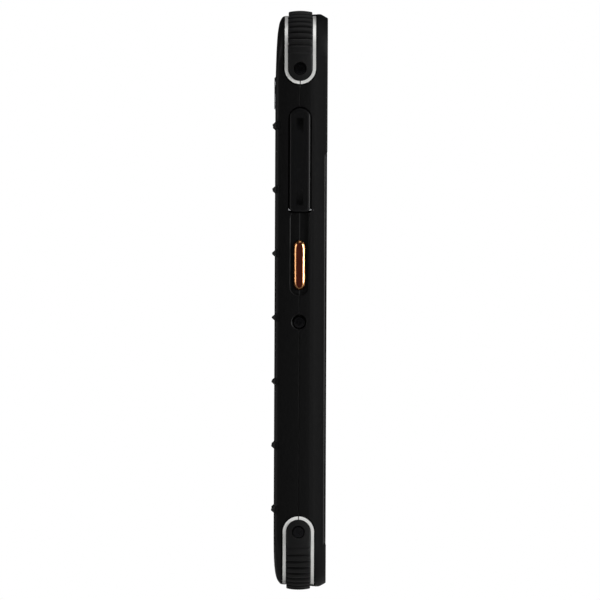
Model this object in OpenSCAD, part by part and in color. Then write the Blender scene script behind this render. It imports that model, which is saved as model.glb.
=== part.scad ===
// Rugged handheld data collector: a flat, upright handheld computer with ribbed corner bumpers.
// Z is up along the length, the display faces -Y, and the card slot and function key are on -X.

/* [Body] */
// Width over the corner bumpers
overall_w = 95; // [94:0.5:97]
// Length over the corner bumpers
overall_len = 195; // [193:0.5:199]
// Thickness from the front guards to the flat of the back
body_t = 17.6; // [17.4:0.1:18]
// Height of the parting plane, and of everything centred on it, behind mid thickness
part_y = 0; // [0:0.05:0.4]
// How far the corner bumpers stand out of the sides
proud_side = 1.2; // [1:0.1:1.4]
// How far the corner bumpers stand out of the ends
proud_end = 1.7; // [1.5:0.1:1.9]
// Corner radius of the casing, seen from the front
casing_r = 14; // [13:0.5:14.5]
// Thickness of the casing's side walls
wall = 2.3; // [2.2:0.1:2.5]

/* [Grip ridges] */
// Ridges down each edge of the back
ridge_count = 7; // [5:1:7]
// Distance from one ridge to the next
ridge_pitch = 21.55; // [19:0.05:21.6]
// Height of a ridge above the back
ridge_h = 0.9; // [0.6:0.05:1.1]
// Width of a ridge at its foot
ridge_base = 2.1; // [1.8:0.1:2.6]
// Height of the middle ridge
ridge_mid_z = -5.8; // [-7:0.1:-4]

/* [Corner bumpers] */
// Outer radius of a bumper, seen from the front
bumper_r = 15.2; // [14.8:0.1:15.5]
// Width of the rubber across the thickness of the body
bumper_w = 8.0; // [7.8:0.1:8.4]
// Width of the bright trim around the rubber
trim_w = 1.05; // [0.9:0.05:1.15]
// Distance of a bumper screw from the outside of the corner
screw_inset = 19.6; // [19:0.1:20]
// Grip grooves round a bumper
groove_count = 10; // [6:1:10]
// Depth of the deepest groove, in the middle of the bumper
groove_depth = 1.1; // [0.7:0.1:1.3]

/* [Left side] */
// Lowest point of the card slot cover
cover_low = 29.6; // [29:0.1:30]
// Length of the card slot cover
cover_len = 35.2; // [34:0.1:36]
// Width of the card slot and USB covers
cover_w = 7.3; // [7:0.1:7.4]
// Middle height of the function key
key_mid = 11.8; // [11.4:0.1:12.2]
// Length of the function key
key_len = 16.5; // [14:0.1:17]
// Width of every side key
key_w = 3.6; // [3.2:0.1:3.8]
// Height of the middle side screws
side_screw_z = -7.3; // [-9:0.1:-7]

/* [Display] */
// Width of the cover glass
glass_w = 88; // [87:0.5:88]
// Length of the cover glass
glass_len = 176; // [174:0.5:176]

/* [Hidden] */
$fn = 48;
eps = 0.01;
far = 60;                                     // longer than any cutter needs to reach
gap = 0.3;                                    // parting gap between the two casings
fit = 0.2;                                    // clearance round a fitted piece
pin_fit = 0.05;                               // running clearance of a hinge pin

// Depth levels, from the display to the back.
front_y = -(body_t + ridge_h) / 2;            // the front guards' plane
back_y = front_y + body_t;                    // the flat of the back
glass_y = front_y + 0.1;                      // outer face of the glass
glass_t = 1;
display_y = glass_y + glass_t;                // the display is bonded to the glass
display_t = 2.9;
gasket_t = 0.15;
frame_y = display_y + display_t + 0.15;       // front of the mid frame's plate
frame_t = 1.2;
board_y = frame_y + frame_t + 2.6;            // front of the circuit boards
board_t = 1;
parts_y = board_y + board_t;                  // back of the boards, where parts stand
cavity_back = back_y - 1.7;
rail_drop = 0.6;                              // side rails lie this far behind the guards
guard_top = 49;                               // the corner guards begin at these heights
guard_low = -82;

// Outlines, seen from the front.
half_w = overall_w / 2 - proud_side;          // casing
half_len = overall_len / 2 - proud_end;
inner_w = half_w - wall;                      // cavity
inner_len = half_len - 3.2;
inner_r = casing_r - wall;
arc_x = overall_w / 2 - bumper_r;             // centre of a bumper's arc
arc_z = overall_len / 2 - bumper_r;
floor_w = half_w - 1.3;                       // bottom of a bumper's channel
floor_len = half_len - 0.8;
floor_r = floor_w - arc_x;

// Bumpers.
screw_x = overall_w / 2 - screw_inset;        // screws through the end legs
screw_z = overall_len / 2 - screw_inset;      // screws through the side legs
leg_lean = 6.4;                               // a bumper's legs lean in by this angle
leg_len = screw_inset - bumper_r + bumper_w;
groove_step = 9;                              // degrees from groove to groove
groove_w = 1.1;
stadium_w = bumper_w + 2 * fit + 2 * trim_w;  // outside of the bright trim
head_r = 1.95;                                // side and bumper screws
shank_r = 0.98;
thread_r = 1;
passage_r = 1.15;

// Flaps: the card slot cover on the left side and the USB cover on the bottom.
flap_t = 1.5;
flap_sink = 0.05;                             // a closed flap lies this far below the surface
flap_back = flap_t / 2 + 0.15;                // floor of a flap's pocket, from its hinge
flap_r = 1.2;                                 // corners at a flap's hinge end
flap_gap = 0.3;                               // between a flap and its pocket
pocket_r = 0.6;                               // squarer than the flap, which swings past it
hinge_r = 0.35;
seal_t = 0.75;
card_hinge = [-(half_w - flap_sink - flap_t / 2), part_y, cover_low + flap_t / 2];
usb_len = 17.2;
usb_hinge = [(usb_len - flap_t) / 2, part_y, -(half_len - flap_sink - flap_t / 2)];
plug_in = 4;                                  // the card opening starts this far in from the ends

// Side keys.
pocket_w = 6.6;                               // finger pocket that a key lies in
pocket_depth = 0.7;
key_sink = 0.15;
key_travel = 0.5;
flange = 0.8;                                 // a key's flange overhangs its slot by this
flange_x = inner_w - 0.65;                    // inner face of a key's flange
function_z = [key_mid - key_len / 2, key_mid + key_len / 2];
power_z = [6.5, 18.5];
volume_down_z = [33.5, 45.5];
volume_up_z = [47.5, 59.5];

// Inside.
camera_z = 70;
flash_z = 56;
ear_z = 84.5;                                 // earpiece and front camera
front_camera_x = 17;
mic_x = 16;
speaker_x = -19;
speaker_z = -78;
socket_z = [cover_low + 4, cover_low + 31];   // card socket
board_screw_spots = [[34.5, 83], [34.5, 25], [34.5, -72]];

// Outlines of the casings from front to back: [y, inset of the sides, of the top, of the bottom].
rear_outlines = [
  [part_y + gap / 2, 0, 0, 0], [4.6, 0.05, 0, 0], [back_y - 2.8, 0.15, 0.24, 0.05],
  [back_y - 1.95, 0.28, 1.35, 0.7], [back_y - 1.45, 0.4, 2.3, 1.35],
  [back_y - 0.9, 0.62, 4.3, 2.7], [back_y - 0.48, 0.95, 8.5, 4.7],
  [back_y - 0.2, 1.35, 16, 8], [back_y, 2, 26, 15]
];
front_outlines = [
  [front_y, 1.2, 1.35, 1.1], [front_y + 0.5, 0.85, 1.05, 0.55], [front_y + 2.4, 0.5, 0, 0.05],
  [-4.8, 0.28, 0, 0], [-2.5, 0.08, 0, 0], [part_y - gap / 2, 0, 0, 0]
];

// ---- helpers ----

// A flat shape in X and Z, given its thickness from y0 up to y1.
module slab(y0, y1)
  translate([0, y1, 0]) rotate([90, 0, 0]) linear_extrude(y1 - y0) children();

// A flat shape in Y and Z, given its thickness from x0 up to x1.
module side_slab(x0, x1)
  translate([x0, 0, 0]) rotate([90, 0, 90]) linear_extrude(x1 - x0) children();

module box(x, y, z)
  translate([x[0], y[0], z[0]]) cube([x[1] - x[0], y[1] - y[0], z[1] - z[0]]);

// A cylinder along Y from y0 up to y1.
module disc(y0, y1, r) slab(y0, y1) circle(r);

// A rectangle with round corners, centred.
module plate(hw, hl, r) {
  square([2 * (hw - r), 2 * hl], center = true);
  square([2 * hw, 2 * (hl - r)], center = true);
  for (sx = [-1, 1], sz = [-1, 1]) translate([sx * (hw - r), sz * (hl - r)]) circle(r);
}

// An upright slot from z0 to z1, with corner radius r0 below and r1 above.
module slot(w, z0, z1, r0, r1) {
  translate([-w / 2, z0 + r0]) square([w, z1 - z0 - r0 - r1]);
  for (s = [-1, 1]) {
    translate([s * (w / 2 - r0), z0 + r0]) circle(r0);
    translate([s * (w / 2 - r1), z1 - r1]) circle(r1);
  }
  if (w > 2 * r0) translate([r0 - w / 2, z0]) square([w - 2 * r0, 2 * r0]);
  if (w > 2 * r1) translate([r1 - w / 2, z1 - 2 * r1]) square([w - 2 * r1, 2 * r1]);
}

module stadium(w, z0, z1) slot(w, z0, z1, w / 2, w / 2);

// Children, modelled at the +X side or the +X +Z corner, moved to another by mirroring.
module at_side(sx) mirror([sx < 0 ? 1 : 0, 0, 0]) children();
module at_corner(sx, sz) at_side(sx) mirror([0, 0, sz < 0 ? 1 : 0]) children();
module each_corner() for (sx = [-1, 1], sz = [-1, 1]) at_corner(sx, sz) children();

// Children, modelled along Z, stood on a side leg's and on an end leg's screw axis.
module at_bumper_screws(side_depth, end_depth) {
  translate([side_depth, part_y, screw_z]) rotate([0, 90, 0]) children();
  translate([screw_x, part_y, end_depth]) children();
}

// The stack of outlines as one convex block, each a skin thick and inside the block's depth.
module block(outlines)
  hull() for (o = outlines) {
    y0 = o == outlines[0] ? o[0] : o[0] - eps;
    slab(y0, y0 + eps) translate([0, (o[3] - o[2]) / 2])
      plate(half_w - o[1], half_len - (o[2] + o[3]) / 2, casing_r, $fn = 32);
  }

// The band of width w that wraps round a corner, with a round end at each screw.
module corner_wrap(w) translate([0, part_y, 0]) {
  side_slab(arc_x, far) stadium(w, screw_z - w / 2, 3 * far);
  translate([0, 0, arc_z]) linear_extrude(far) rotate(-90) stadium(w, screw_x - w / 2, 3 * far);
}

module channel_floor() slab(-far, far) plate(floor_w, floor_len, floor_r);

// Everything cut into the outside across the parting plane.
module side_cuts() {
  each_corner() {
    difference() {
      corner_wrap(stadium_w + 0.1);
      channel_floor();
    }
    at_bumper_screws(inner_w - 2, inner_len - 2) cylinder(h = 9, r = passage_r);
  }
  for (sx = [-1, 1]) at_side(sx) translate([inner_w - 2, part_y, side_screw_z])
    rotate([0, 90, 0]) {
      cylinder(h = 9, r = passage_r);
      translate([0, 0, wall + 0.7]) cylinder(h = 9, r = 2.6);
    }
  translate(card_hinge) flap_pocket(cover_len);
  translate(usb_hinge) rotate([0, -90, 0]) flap_pocket(usb_len);
  translate([0, part_y, 0]) {
    side_slab(-far, 1 - inner_w)
      slot(4.9, cover_low + plug_in, cover_low + cover_len - plug_in, 2, 2);
    translate([0, 0, -2 * far]) linear_extrude(2 * far - inner_len + 1)
      rotate(90) stadium(3.7, -4.85, 4.85);
    translate([mic_x, 0, -half_len - 1]) cylinder(h = 6, r = 0.6);
    at_side(-1) key_cuts([function_z], [1.4, cover_low + 1]);
    at_side(1) key_cuts([power_z], [power_z[0] - 2.2, power_z[1] + 2.2]);
    at_side(1) key_cuts([volume_down_z, volume_up_z],
                        [volume_down_z[0] - 2.2, volume_up_z[1] + 2.2]);
  }
}

// Side keys' slots through the wall, in one shallow finger pocket, on the +X side.
module key_cuts(spans, pocket) {
  side_slab(half_w - pocket_depth, far) stadium(pocket_w, pocket[0], pocket[1]);
  for (z = spans)
    side_slab(inner_w - 1, far) stadium(key_w + 2 * fit, z[0] - fit, z[1] + fit);
}

// ---- flaps: hinge axis at the origin along Y, lying up +Z, outer face towards -X ----

module flap_pocket(len) {
  side_slab(-far, flap_back)
    slot(cover_w + 2 * flap_gap, -flap_t / 2 - flap_gap, len - flap_t / 2 + flap_gap,
         pocket_r, cover_w / 2 + flap_gap);
  rotate([90, 0, 0]) cylinder(h = cover_w + 2.2, r = hinge_r + pin_fit, center = true);
}

module flap_body(len) difference() {
  intersection() {
    side_slab(-flap_t, flap_t) slot(cover_w, -flap_t / 2, len - flap_t / 2, flap_r, cover_w / 2);
    slab(-cover_w, cover_w) {
      circle(flap_t / 2);
      translate([-flap_t / 2, 0]) square([flap_t, len]);
    }
  }
  rotate([90, 0, 0]) cylinder(h = cover_w + 1, r = hinge_r + pin_fit, center = true);
}

// A nail notch whose square end is at z and whose floor runs out in direction s.
module nail_notch(z, s)
  slab(-1.15, 1.15) polygon([
    [-flap_t, z], [-flap_t / 2 + 0.7, z], [-flap_t / 2 + 0.7, z + s * 1.6],
    [-flap_t / 2, z + s * 5.1], [-flap_t, z + s * 5.1]
  ]);

module hinge_pin()
  rotate([90, 0, 0]) cylinder(h = cover_w + 2, r = hinge_r, center = true);

// ---- casings and frame ----

module front_casing() color("#17181a") difference() {
  block(front_outlines);
  slab(frame_y, far) plate(inner_w, inner_len, inner_r);
  slab(-far, display_y + gasket_t) plate(glass_w / 2 + 0.15, glass_len / 2 + 0.15, 8.15);
  slab(-far, far) plate(39.5, 81, 2);
  for (s = [-1, 1])
    box([s * 50 - 6, s * 50 + 6], [-far, front_y + rail_drop], [guard_low, guard_top]);
  front_openings();
  side_cuts();
}

// Openings for the earpiece and the front camera, above the display.
module front_openings() {
  box([-6.3, 6.3], [-far, far], [ear_z - 2.1, ear_z + 2.1]);
  translate([front_camera_x, 0, ear_z]) disc(-far, far, 2.4);
}

module rear_casing() color("#131415") difference() {
  union() {
    block(rear_outlines);
    ridges();
  }
  slab(-far, cavity_back) plate(inner_w, inner_len, inner_r);
  translate([0, 0, camera_z]) disc(0, far, 5.6);
  translate([0, 0, flash_z]) disc(0, far, 2.3);
  for (k = [-2 : 2])
    slab(0, far) translate([speaker_x, speaker_z + 3 * k]) rotate(90) stadium(1.2, -7, 7);
  side_cuts();
}

// Cross ridges on both long edges of the back, ramped inwards and wrapped over the edge.
module ridges() intersection() {
  side_slab(-far, far) for (k = [0 : ridge_count - 1])
    translate([back_y, ridge_mid_z + (k - (ridge_count - 1) / 2) * ridge_pitch]) polygon([
      [-1.6, -ridge_base / 2], [0, -ridge_base / 2], [ridge_h, -0.2], [ridge_h, 0.2],
      [0, ridge_base / 2], [-1.6, ridge_base / 2]
    ]);
  for (sx = [-1, 1]) at_side(sx)
    translate([0, back_y, -2 * far]) linear_extrude(4 * far) polygon([
      [28, -1.5], [28, 0], [30.5, ridge_h], [half_w - 1.4, ridge_h], [half_w - 0.4, -0.3],
      [half_w - 0.4, -1.5]
    ]);
}

module casing_seal() color("#050505") difference() {
  slab(part_y - gap / 2, part_y + gap / 2) difference() {
    plate(half_w - 0.7, half_len - 0.7, casing_r - 0.7);
    plate(half_w - 1.9, half_len - 1.9, casing_r - 1.9);
  }
  side_cuts();
}

module mid_frame() color("#8e9294") difference() {
  union() {
    slab(frame_y, frame_y + frame_t) plate(inner_w - fit, inner_len - fit, inner_r - fit);
    for (sx = [-1, 1]) at_side(sx) {
      for (z = [-screw_z, side_screw_z, screw_z])
        box([inner_w - 5.2, inner_w - fit], [frame_y, part_y + 2.6], [z - 3, z + 3]);
      for (p = board_screw_spots)
        translate([p[0], 0, p[1]]) disc(frame_y, board_y, 2.2);
    }
    each_corner()
      box([screw_x - 3, screw_x + 3], [frame_y, part_y + 2.6], [inner_len - 5.2, inner_len - fit]);
  }
  each_corner()
    at_bumper_screws(inner_w - 4.6, inner_len - 4.6) cylinder(h = 9, r = thread_r);
  for (sx = [-1, 1]) at_side(sx) {
    translate([inner_w - 4.6, part_y, side_screw_z]) rotate([0, 90, 0])
      cylinder(h = 9, r = thread_r);
    for (p = board_screw_spots) translate([p[0], 0, p[1]]) disc(frame_y + frame_t, far, 0.8);
  }
  box([-6.8, 6.8], [-far, far], [ear_z - 2.6, ear_z + 2.6]);
  box([front_camera_x - 3.2, front_camera_x + 3.2], [-far, far], [ear_z - 3.2, ear_z + 3.2]);
}

// ---- display ----

module display_glass() color("#0b0b0d") difference() {
  slab(glass_y, glass_y + glass_t) plate(glass_w / 2, glass_len / 2, 8);
  slab(-far, far) translate([0, ear_z]) rotate(90) stadium(1.4, -6, 6);
}

module display_panel() color("#1d2024")
  slab(display_y, display_y + display_t) plate(38.5, 80, 1);

module display_gasket() color("#080808") difference() {
  slab(display_y, display_y + gasket_t) difference() {
    plate(glass_w / 2 - 0.4, glass_len / 2 - 0.4, 7.6);
    plate(39.8, 81.3, 2);
  }
  front_openings();
}

module earpiece() color("#2a2a2c")
  box([-6, 6], [display_y + 0.4, frame_y + 2.2], [ear_z - 2, ear_z + 2]);

module earpiece_mesh() color("#3a3a3a")
  box([-6.2, 6.2], [display_y, display_y + 0.2], [ear_z - 1.8, ear_z + 1.8]);

module front_camera() color("#101214") translate([front_camera_x, 0, ear_z]) {
  disc(display_y + 0.1, frame_y, 2.2);
  box([-2.6, 2.6], [frame_y, frame_y + 2.8], [-2.6, 2.6]);
}

// ---- circuit boards and what stands on them ----

module board_holes()
  for (sx = [-1, 1], p = board_screw_spots) translate([sx * p[0], 0, p[1]]) disc(-far, far, 0.9);

module main_board() color("#1f5a34") difference() {
  box([-38, 38], [board_y, parts_y], [22, 86]);
  board_holes();
}

module sub_board() color("#1f5a34") difference() {
  union() {
    box([-37, 37], [board_y, parts_y], [-86.5, -67.5]);
    box([-23, 23], [board_y, parts_y], [-91.5, -80]);
  }
  box([-4.8, 4.8], [-far, far], [-far * 2, -84]);
  board_holes();
}

module processor_shield() color("#b8babc")
  box([8, 34], [parts_y, parts_y + 2.2], [45, 71]);

module modem_shield() color("#b8babc")
  box([8, 32], [parts_y, parts_y + 2.2], [28, 42]);

// Holder for two cards side by side, both pushed in from the left.
module card_socket() color("#c2c4c6") difference() {
  box([0.4 - inner_w, -26], [parts_y, parts_y + 2.4], socket_z);
  box([-far, -33], [parts_y + 0.9, parts_y + 1.7], [socket_z[0] + 1, socket_z[0] + 10]);
  box([-far, -28.6], [parts_y + 0.6, parts_y + 1.8], [socket_z[0] + 14, socket_z[0] + 25.2]);
}

module sim_card() color("#d8d4c4")
  box([0.2 - inner_w, -33 - fit], [parts_y + 0.96, parts_y + 1.64],
      [socket_z[0] + 1.1, socket_z[0] + 9.9]);

module memory_card() color("#15161a")
  box([0.2 - inner_w, -28.8], [parts_y + 0.7, parts_y + 1.7],
      [socket_z[0] + 14.1, socket_z[0] + 25.1]);

module battery_pack() color("#2b2d30")
  box([-33, 33], [frame_y + frame_t + 0.2, frame_y + frame_t + 9.2], [-64, 18]);

module battery_flex() color("#b06a20")
  box([-20, -8], [parts_y, parts_y + 0.2], [18, 26]);

module gnss_antenna() color("#cfc8b4")
  box([-30, -6], [parts_y, parts_y + 4.5], [61.5, 85.5]);

module side_antenna(z)
  box([inner_w - 2.4, inner_w - 0.4], [frame_y + frame_t + 0.3, cavity_back - 0.8], z);

module cellular_antenna() color("#c9a25a") at_side(-1) side_antenna([-70, -16]);

module wifi_antenna() color("#c9a25a") side_antenna([64, 73.5]);

module vibration_motor() color("#a8aaac")
  translate([26, 0, -78]) disc(parts_y, parts_y + 3, 5);

module microphone() color("#b8babc")
  box([mic_x - 1.9, mic_x + 1.9], [parts_y, parts_y + 1.1], [-91.3, -88.3]);

// ---- camera, flash and loudspeaker on the back ----

module rear_camera() color("#101214") translate([0, 0, camera_z]) {
  box([-4.5, 4.5], [parts_y, parts_y + 5], [-4.5, 4.5]);
  disc(parts_y + 5, back_y - 0.8, 3.2);
}

module camera_ring() color("#9a9c9e") translate([0, 0, camera_z])
  slab(cavity_back, back_y + 0.4) difference() {
    circle(5.5);
    circle(4.2);
  }

module camera_window() color("#0c0e12")
  translate([0, 0, camera_z]) disc(back_y - 0.5, back_y + 0.2, 4.2);

module flash_window() color("#e8e6d8")
  translate([0, 0, flash_z]) disc(cavity_back - 0.4, back_y - 0.05, 2.25);

module loudspeaker() color("#232426")
  box([speaker_x - 9, speaker_x + 9], [cavity_back - 4.7, cavity_back - 0.5],
      [speaker_z - 8.8, speaker_z + 8.8]);

module speaker_mesh() color("#3a3a3a")
  box([speaker_x - 8.5, speaker_x + 8.5], [cavity_back - 0.25, cavity_back],
      [speaker_z - 8.2, speaker_z + 8.2]);

// ---- covers ----

module card_cover() color("#1b1c1e") translate(card_hinge) difference() {
  flap_body(cover_len);
  nail_notch(cover_len - 4.3, -1);
  nail_notch(1.75, 1);
}

module card_cover_seal() color("#0a0a0a") translate(card_hinge)
  side_slab(flap_t / 2, flap_t / 2 + seal_t) difference() {
    slot(4.4, plug_in - 0.5, cover_len - plug_in - 1, 1.8, 1.8);
    slot(2.8, plug_in + 0.3, cover_len - plug_in - 1.8, 1, 1);
  }

module card_cover_pin() color("#c8cacc") translate(card_hinge) hinge_pin();

module usb_cover() color("#1b1c1e") translate(usb_hinge) rotate([0, -90, 0]) difference() {
  flap_body(usb_len);
  nail_notch(usb_len - 4.3, -1);
}

// The plug on the inside of the USB cover that closes the socket's mouth.
module usb_cover_seal() color("#0a0a0a") translate([0, part_y, usb_hinge[2] + flap_t / 2])
  linear_extrude(seal_t) rotate(90) difference() {
    stadium(2.2, -3.95, 3.95);
    stadium(1.2, -3.45, 3.45);
  }

module usb_cover_pin() color("#c8cacc") translate(usb_hinge) hinge_pin();

module usb_socket() color("#c2c4c6") translate([0, part_y, -half_len + 1.85]) {
  linear_extrude(9.5) rotate(90) difference() {
    stadium(3.2, -4.5, 4.5);
    stadium(2.6, -4.2, 4.2);
  }
  translate([0, 0, 8.3]) linear_extrude(1.2) rotate(90) stadium(2.6, -4.2, 4.2);
  box([-3.3, 3.3], [-0.35, 0.35], [1.2, 8.3]);
}

// ---- side keys ----

// A key on the +X side, with its flange inside the wall.
module side_key(z) translate([0, part_y, 0]) {
  side_slab(flange_x, half_w - key_sink) stadium(key_w, z[0], z[1]);
  side_slab(flange_x, flange_x + 0.6)
    stadium(key_w + 2 * flange, z[0] - flange, z[1] + flange);
}

// A frame of soft rubber round the flanges of the keys between z0 and z1.
module key_seal(z0, z1) translate([0, part_y, 0])
  side_slab(inner_w - 0.6, inner_w) difference() {
    stadium(key_w + 2 * flange + 2.4, z0 - flange - 1.2, z1 + flange + 1.2);
    stadium(key_w + 2 * flange + 0.6, z0 - flange - 0.3, z1 + flange + 0.3);
  }

// A tact switch behind the middle of a key.
module key_switch(z)
  box([flange_x - key_travel - 1.4, flange_x - key_travel - 0.05],
      [part_y - 1.7, part_y + 1.7], [(z[0] + z[1]) / 2 - 1.7, (z[0] + z[1]) / 2 + 1.7]);

// The strip that carries the switches.
module switch_strip(z0, z1)
  box([flange_x - key_travel - 1.8, flange_x - key_travel - 1.4],
      [part_y - 2.4, part_y + 2.4], [z0, z1]);

module function_key() color("#8a3c14") at_side(-1) side_key(function_z);

module function_key_seal() color("#0a0a0a")
  at_side(-1) key_seal(function_z[0], function_z[1]);

module function_key_switch() color("#c2c4c6") at_side(-1) {
  key_switch(function_z);
  switch_strip(function_z[0] + 2, function_z[1] - 2);
}

module power_key() color("#1d1e20") side_key(power_z);

module volume_up_key() color("#1d1e20") side_key(volume_up_z);

module volume_down_key() color("#1d1e20") side_key(volume_down_z);

module right_key_seals() color("#0a0a0a") {
  key_seal(power_z[0], power_z[1]);
  key_seal(volume_down_z[0], volume_up_z[1]);
}

module right_key_switches() color("#c2c4c6") {
  for (z = [power_z, volume_down_z, volume_up_z]) key_switch(z);
  switch_strip(power_z[0] + 2, volume_up_z[1] - 2);
}

// ---- corner bumpers and trims ----

// Outline of the rubber at the +X +Z corner: an arc, and two legs that lean in.
module bumper_outline() translate([arc_x, arc_z]) hull() {
  circle(bumper_r, $fn = 120);
  for (end = [[-leg_lean, -leg_len], [90 + leg_lean, leg_len]])
    rotate(end[0]) translate([bumper_r - 1, end[1]]) square([1, eps]);
}

module bumper(sx, sz) color("#26272a") at_corner(sx, sz) difference() {
  intersection() {
    slab(-far, far) bumper_outline();
    corner_wrap(bumper_w);
  }
  channel_floor();
  for (k = [0 : groove_count - 1]) {
    a = 45 + groove_step * (k - (groove_count - 1) / 2);
    depth = groove_depth * (1 - 0.75 * pow((a - 45) / 45, 2));
    translate([arc_x, part_y, arc_z]) rotate([0, -a, 0])
      translate([bumper_r - depth, -bumper_w, -groove_w / 2])
        cube([bumper_r, 2 * bumper_w, groove_w]);
  }
  at_bumper_screws(floor_w - 1, floor_len - 1) cylinder(h = 9, r = passage_r);
  at_bumper_screws(floor_w + 1, floor_len + 1) cylinder(h = 9, r = 2.2);
}

// Half of the bright trim round a bumper: the front half for s = -1, the rear half for 1.
module trim(sx, sz, s) color("#c8c8c6") at_corner(sx, sz) intersection() {
  difference() {
    corner_wrap(stadium_w);
    corner_wrap(stadium_w - 2 * trim_w);
    channel_floor();
  }
  slab(-far, far) plate(half_w - 0.1, half_len - 0.05, casing_r - 0.1);
  translate([0, part_y + s * (gap / 2 + far / 2), 0]) cube([4 * far, far, 4 * far], center = true);
}

module bumper_top_left() bumper(-1, 1);
module bumper_top_right() bumper(1, 1);
module bumper_bottom_left() bumper(-1, -1);
module bumper_bottom_right() bumper(1, -1);
module trim_front_top_left() trim(-1, 1, -1);
module trim_rear_top_left() trim(-1, 1, 1);
module trim_front_top_right() trim(1, 1, -1);
module trim_rear_top_right() trim(1, 1, 1);
module trim_front_bottom_left() trim(-1, -1, -1);
module trim_rear_bottom_left() trim(-1, -1, 1);
module trim_front_bottom_right() trim(1, -1, -1);
module trim_rear_bottom_right() trim(1, -1, 1);

// ---- screws ----

// A screw along Z whose head rests at the origin, pointing down.
module screw(length, head_t, shank, head) difference() {
  union() {
    translate([0, 0, -length]) cylinder(h = length + eps, r = shank);
    cylinder(h = head_t, r = head);
  }
  translate([0, 0, head_t - 0.6]) cylinder(h = 1, r = head * 0.5, $fn = 6);
}

module bumper_screws() color("#6a6c6e") each_corner()
  at_bumper_screws(floor_w + 1, floor_len + 1) screw(6.4, 0.9, shank_r, head_r);

module side_screws() color("#6a6c6e") for (sx = [-1, 1]) at_side(sx)
  translate([half_w - 1.3, part_y, side_screw_z]) rotate([0, 90, 0])
    screw(5.4, 1, shank_r, head_r);

module board_screws() color("#6a6c6e") for (sx = [-1, 1], p = board_screw_spots)
  translate([sx * p[0], parts_y, p[1]]) rotate([-90, 0, 0]) screw(3, 0.8, 0.78, 1.4);

front_casing();
rear_casing();
casing_seal();
mid_frame();
display_glass();
display_panel();
display_gasket();
main_board();
processor_shield();
modem_shield();
card_socket();
sim_card();
memory_card();
sub_board();
battery_pack();
battery_flex();
gnss_antenna();
cellular_antenna();
wifi_antenna();
earpiece();
earpiece_mesh();
front_camera();
rear_camera();
camera_ring();
camera_window();
flash_window();
loudspeaker();
speaker_mesh();
vibration_motor();
microphone();
usb_socket();
usb_cover();
usb_cover_seal();
usb_cover_pin();
card_cover();
card_cover_seal();
card_cover_pin();
function_key();
function_key_seal();
function_key_switch();
power_key();
volume_up_key();
volume_down_key();
right_key_seals();
right_key_switches();
bumper_top_left();
bumper_top_right();
bumper_bottom_left();
bumper_bottom_right();
trim_front_top_left();
trim_rear_top_left();
trim_front_top_right();
trim_rear_top_right();
trim_front_bottom_left();
trim_rear_bottom_left();
trim_front_bottom_right();
trim_rear_bottom_right();
bumper_screws();
side_screws();
board_screws();
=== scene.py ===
"""Rugged handheld data collector: its visible pieces and finishes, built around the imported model.

Every mesh is modelled in millimetres and brought to metres when it is finished.
"""

import logging
import math
from collections.abc import Callable, Sequence
from dataclasses import dataclass, field
from enum import Enum

import bmesh
import bpy
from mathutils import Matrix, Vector


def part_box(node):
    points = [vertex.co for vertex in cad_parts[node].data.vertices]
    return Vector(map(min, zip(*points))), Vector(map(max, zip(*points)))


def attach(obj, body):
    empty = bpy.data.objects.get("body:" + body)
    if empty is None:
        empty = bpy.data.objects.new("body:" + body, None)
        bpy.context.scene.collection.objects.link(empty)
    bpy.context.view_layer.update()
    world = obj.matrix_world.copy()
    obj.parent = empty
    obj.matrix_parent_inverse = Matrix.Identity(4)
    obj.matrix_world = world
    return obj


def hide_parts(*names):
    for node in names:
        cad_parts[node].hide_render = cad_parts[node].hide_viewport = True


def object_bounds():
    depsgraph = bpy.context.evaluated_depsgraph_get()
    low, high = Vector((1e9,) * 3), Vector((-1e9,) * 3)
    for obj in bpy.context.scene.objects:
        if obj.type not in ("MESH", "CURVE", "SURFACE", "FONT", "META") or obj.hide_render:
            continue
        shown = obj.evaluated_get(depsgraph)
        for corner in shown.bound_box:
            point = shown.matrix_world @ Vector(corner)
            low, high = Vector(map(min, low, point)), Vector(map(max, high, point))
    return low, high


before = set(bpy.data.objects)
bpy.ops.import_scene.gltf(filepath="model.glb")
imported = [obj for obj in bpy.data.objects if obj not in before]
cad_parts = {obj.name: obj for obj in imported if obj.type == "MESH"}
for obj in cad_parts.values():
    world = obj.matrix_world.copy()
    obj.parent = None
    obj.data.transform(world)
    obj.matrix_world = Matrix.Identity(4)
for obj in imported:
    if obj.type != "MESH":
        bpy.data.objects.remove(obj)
CAD_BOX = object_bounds()

LOG = logging.getLogger("data_collector")
MM = 0.001
FAR = 120.0

Object = bpy.types.Object
Material = bpy.types.Material
Row = tuple[float, ...]


# ---- modelling by hand, with operators ----


class Facing(Enum):
    """How a shape that was drawn flat is stood up. Each value is its turn about X, Y and Z, in degrees."""

    FRONT = (90.0, 0.0, 0.0)  # drawn across and up become X and Z, and it grows towards -Y
    SIDE = (90.0, 0.0, 90.0)  # they become Y and Z, and it grows towards +X
    END = (0.0, 0.0, 90.0)  # they become Y and -X, and it grows towards +Z


class Action(Enum):
    """What one solid does to another."""

    ADD = "UNION"
    CUT = "DIFFERENCE"
    TRIM = "INTERSECT"


@dataclass(frozen=True)
class Section:
    """One outline of a loft: its distance along the loft, and the rectangle that it fills.

    Attributes:
        level: Distance along the loft.
        half: Half its width.
        low: Its low edge.
        high: Its high edge.
    """

    level: float
    half: float
    low: float
    high: float


def activate(piece: Object) -> None:
    """Make a piece the only one selected.

    Args:
        piece: The object that the operators are to act on.
    """
    bpy.ops.object.select_all(action="DESELECT")
    piece.select_set(True)
    bpy.context.view_layer.objects.active = piece


def apply_place(piece: Object) -> Object:
    """Move a piece's place, turn and size into its mesh.

    Args:
        piece: The object.

    Returns:
        The object, with its place in its mesh.
    """
    activate(piece)
    bpy.ops.object.transform_apply(location=True, rotation=True, scale=True)
    return piece


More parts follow.
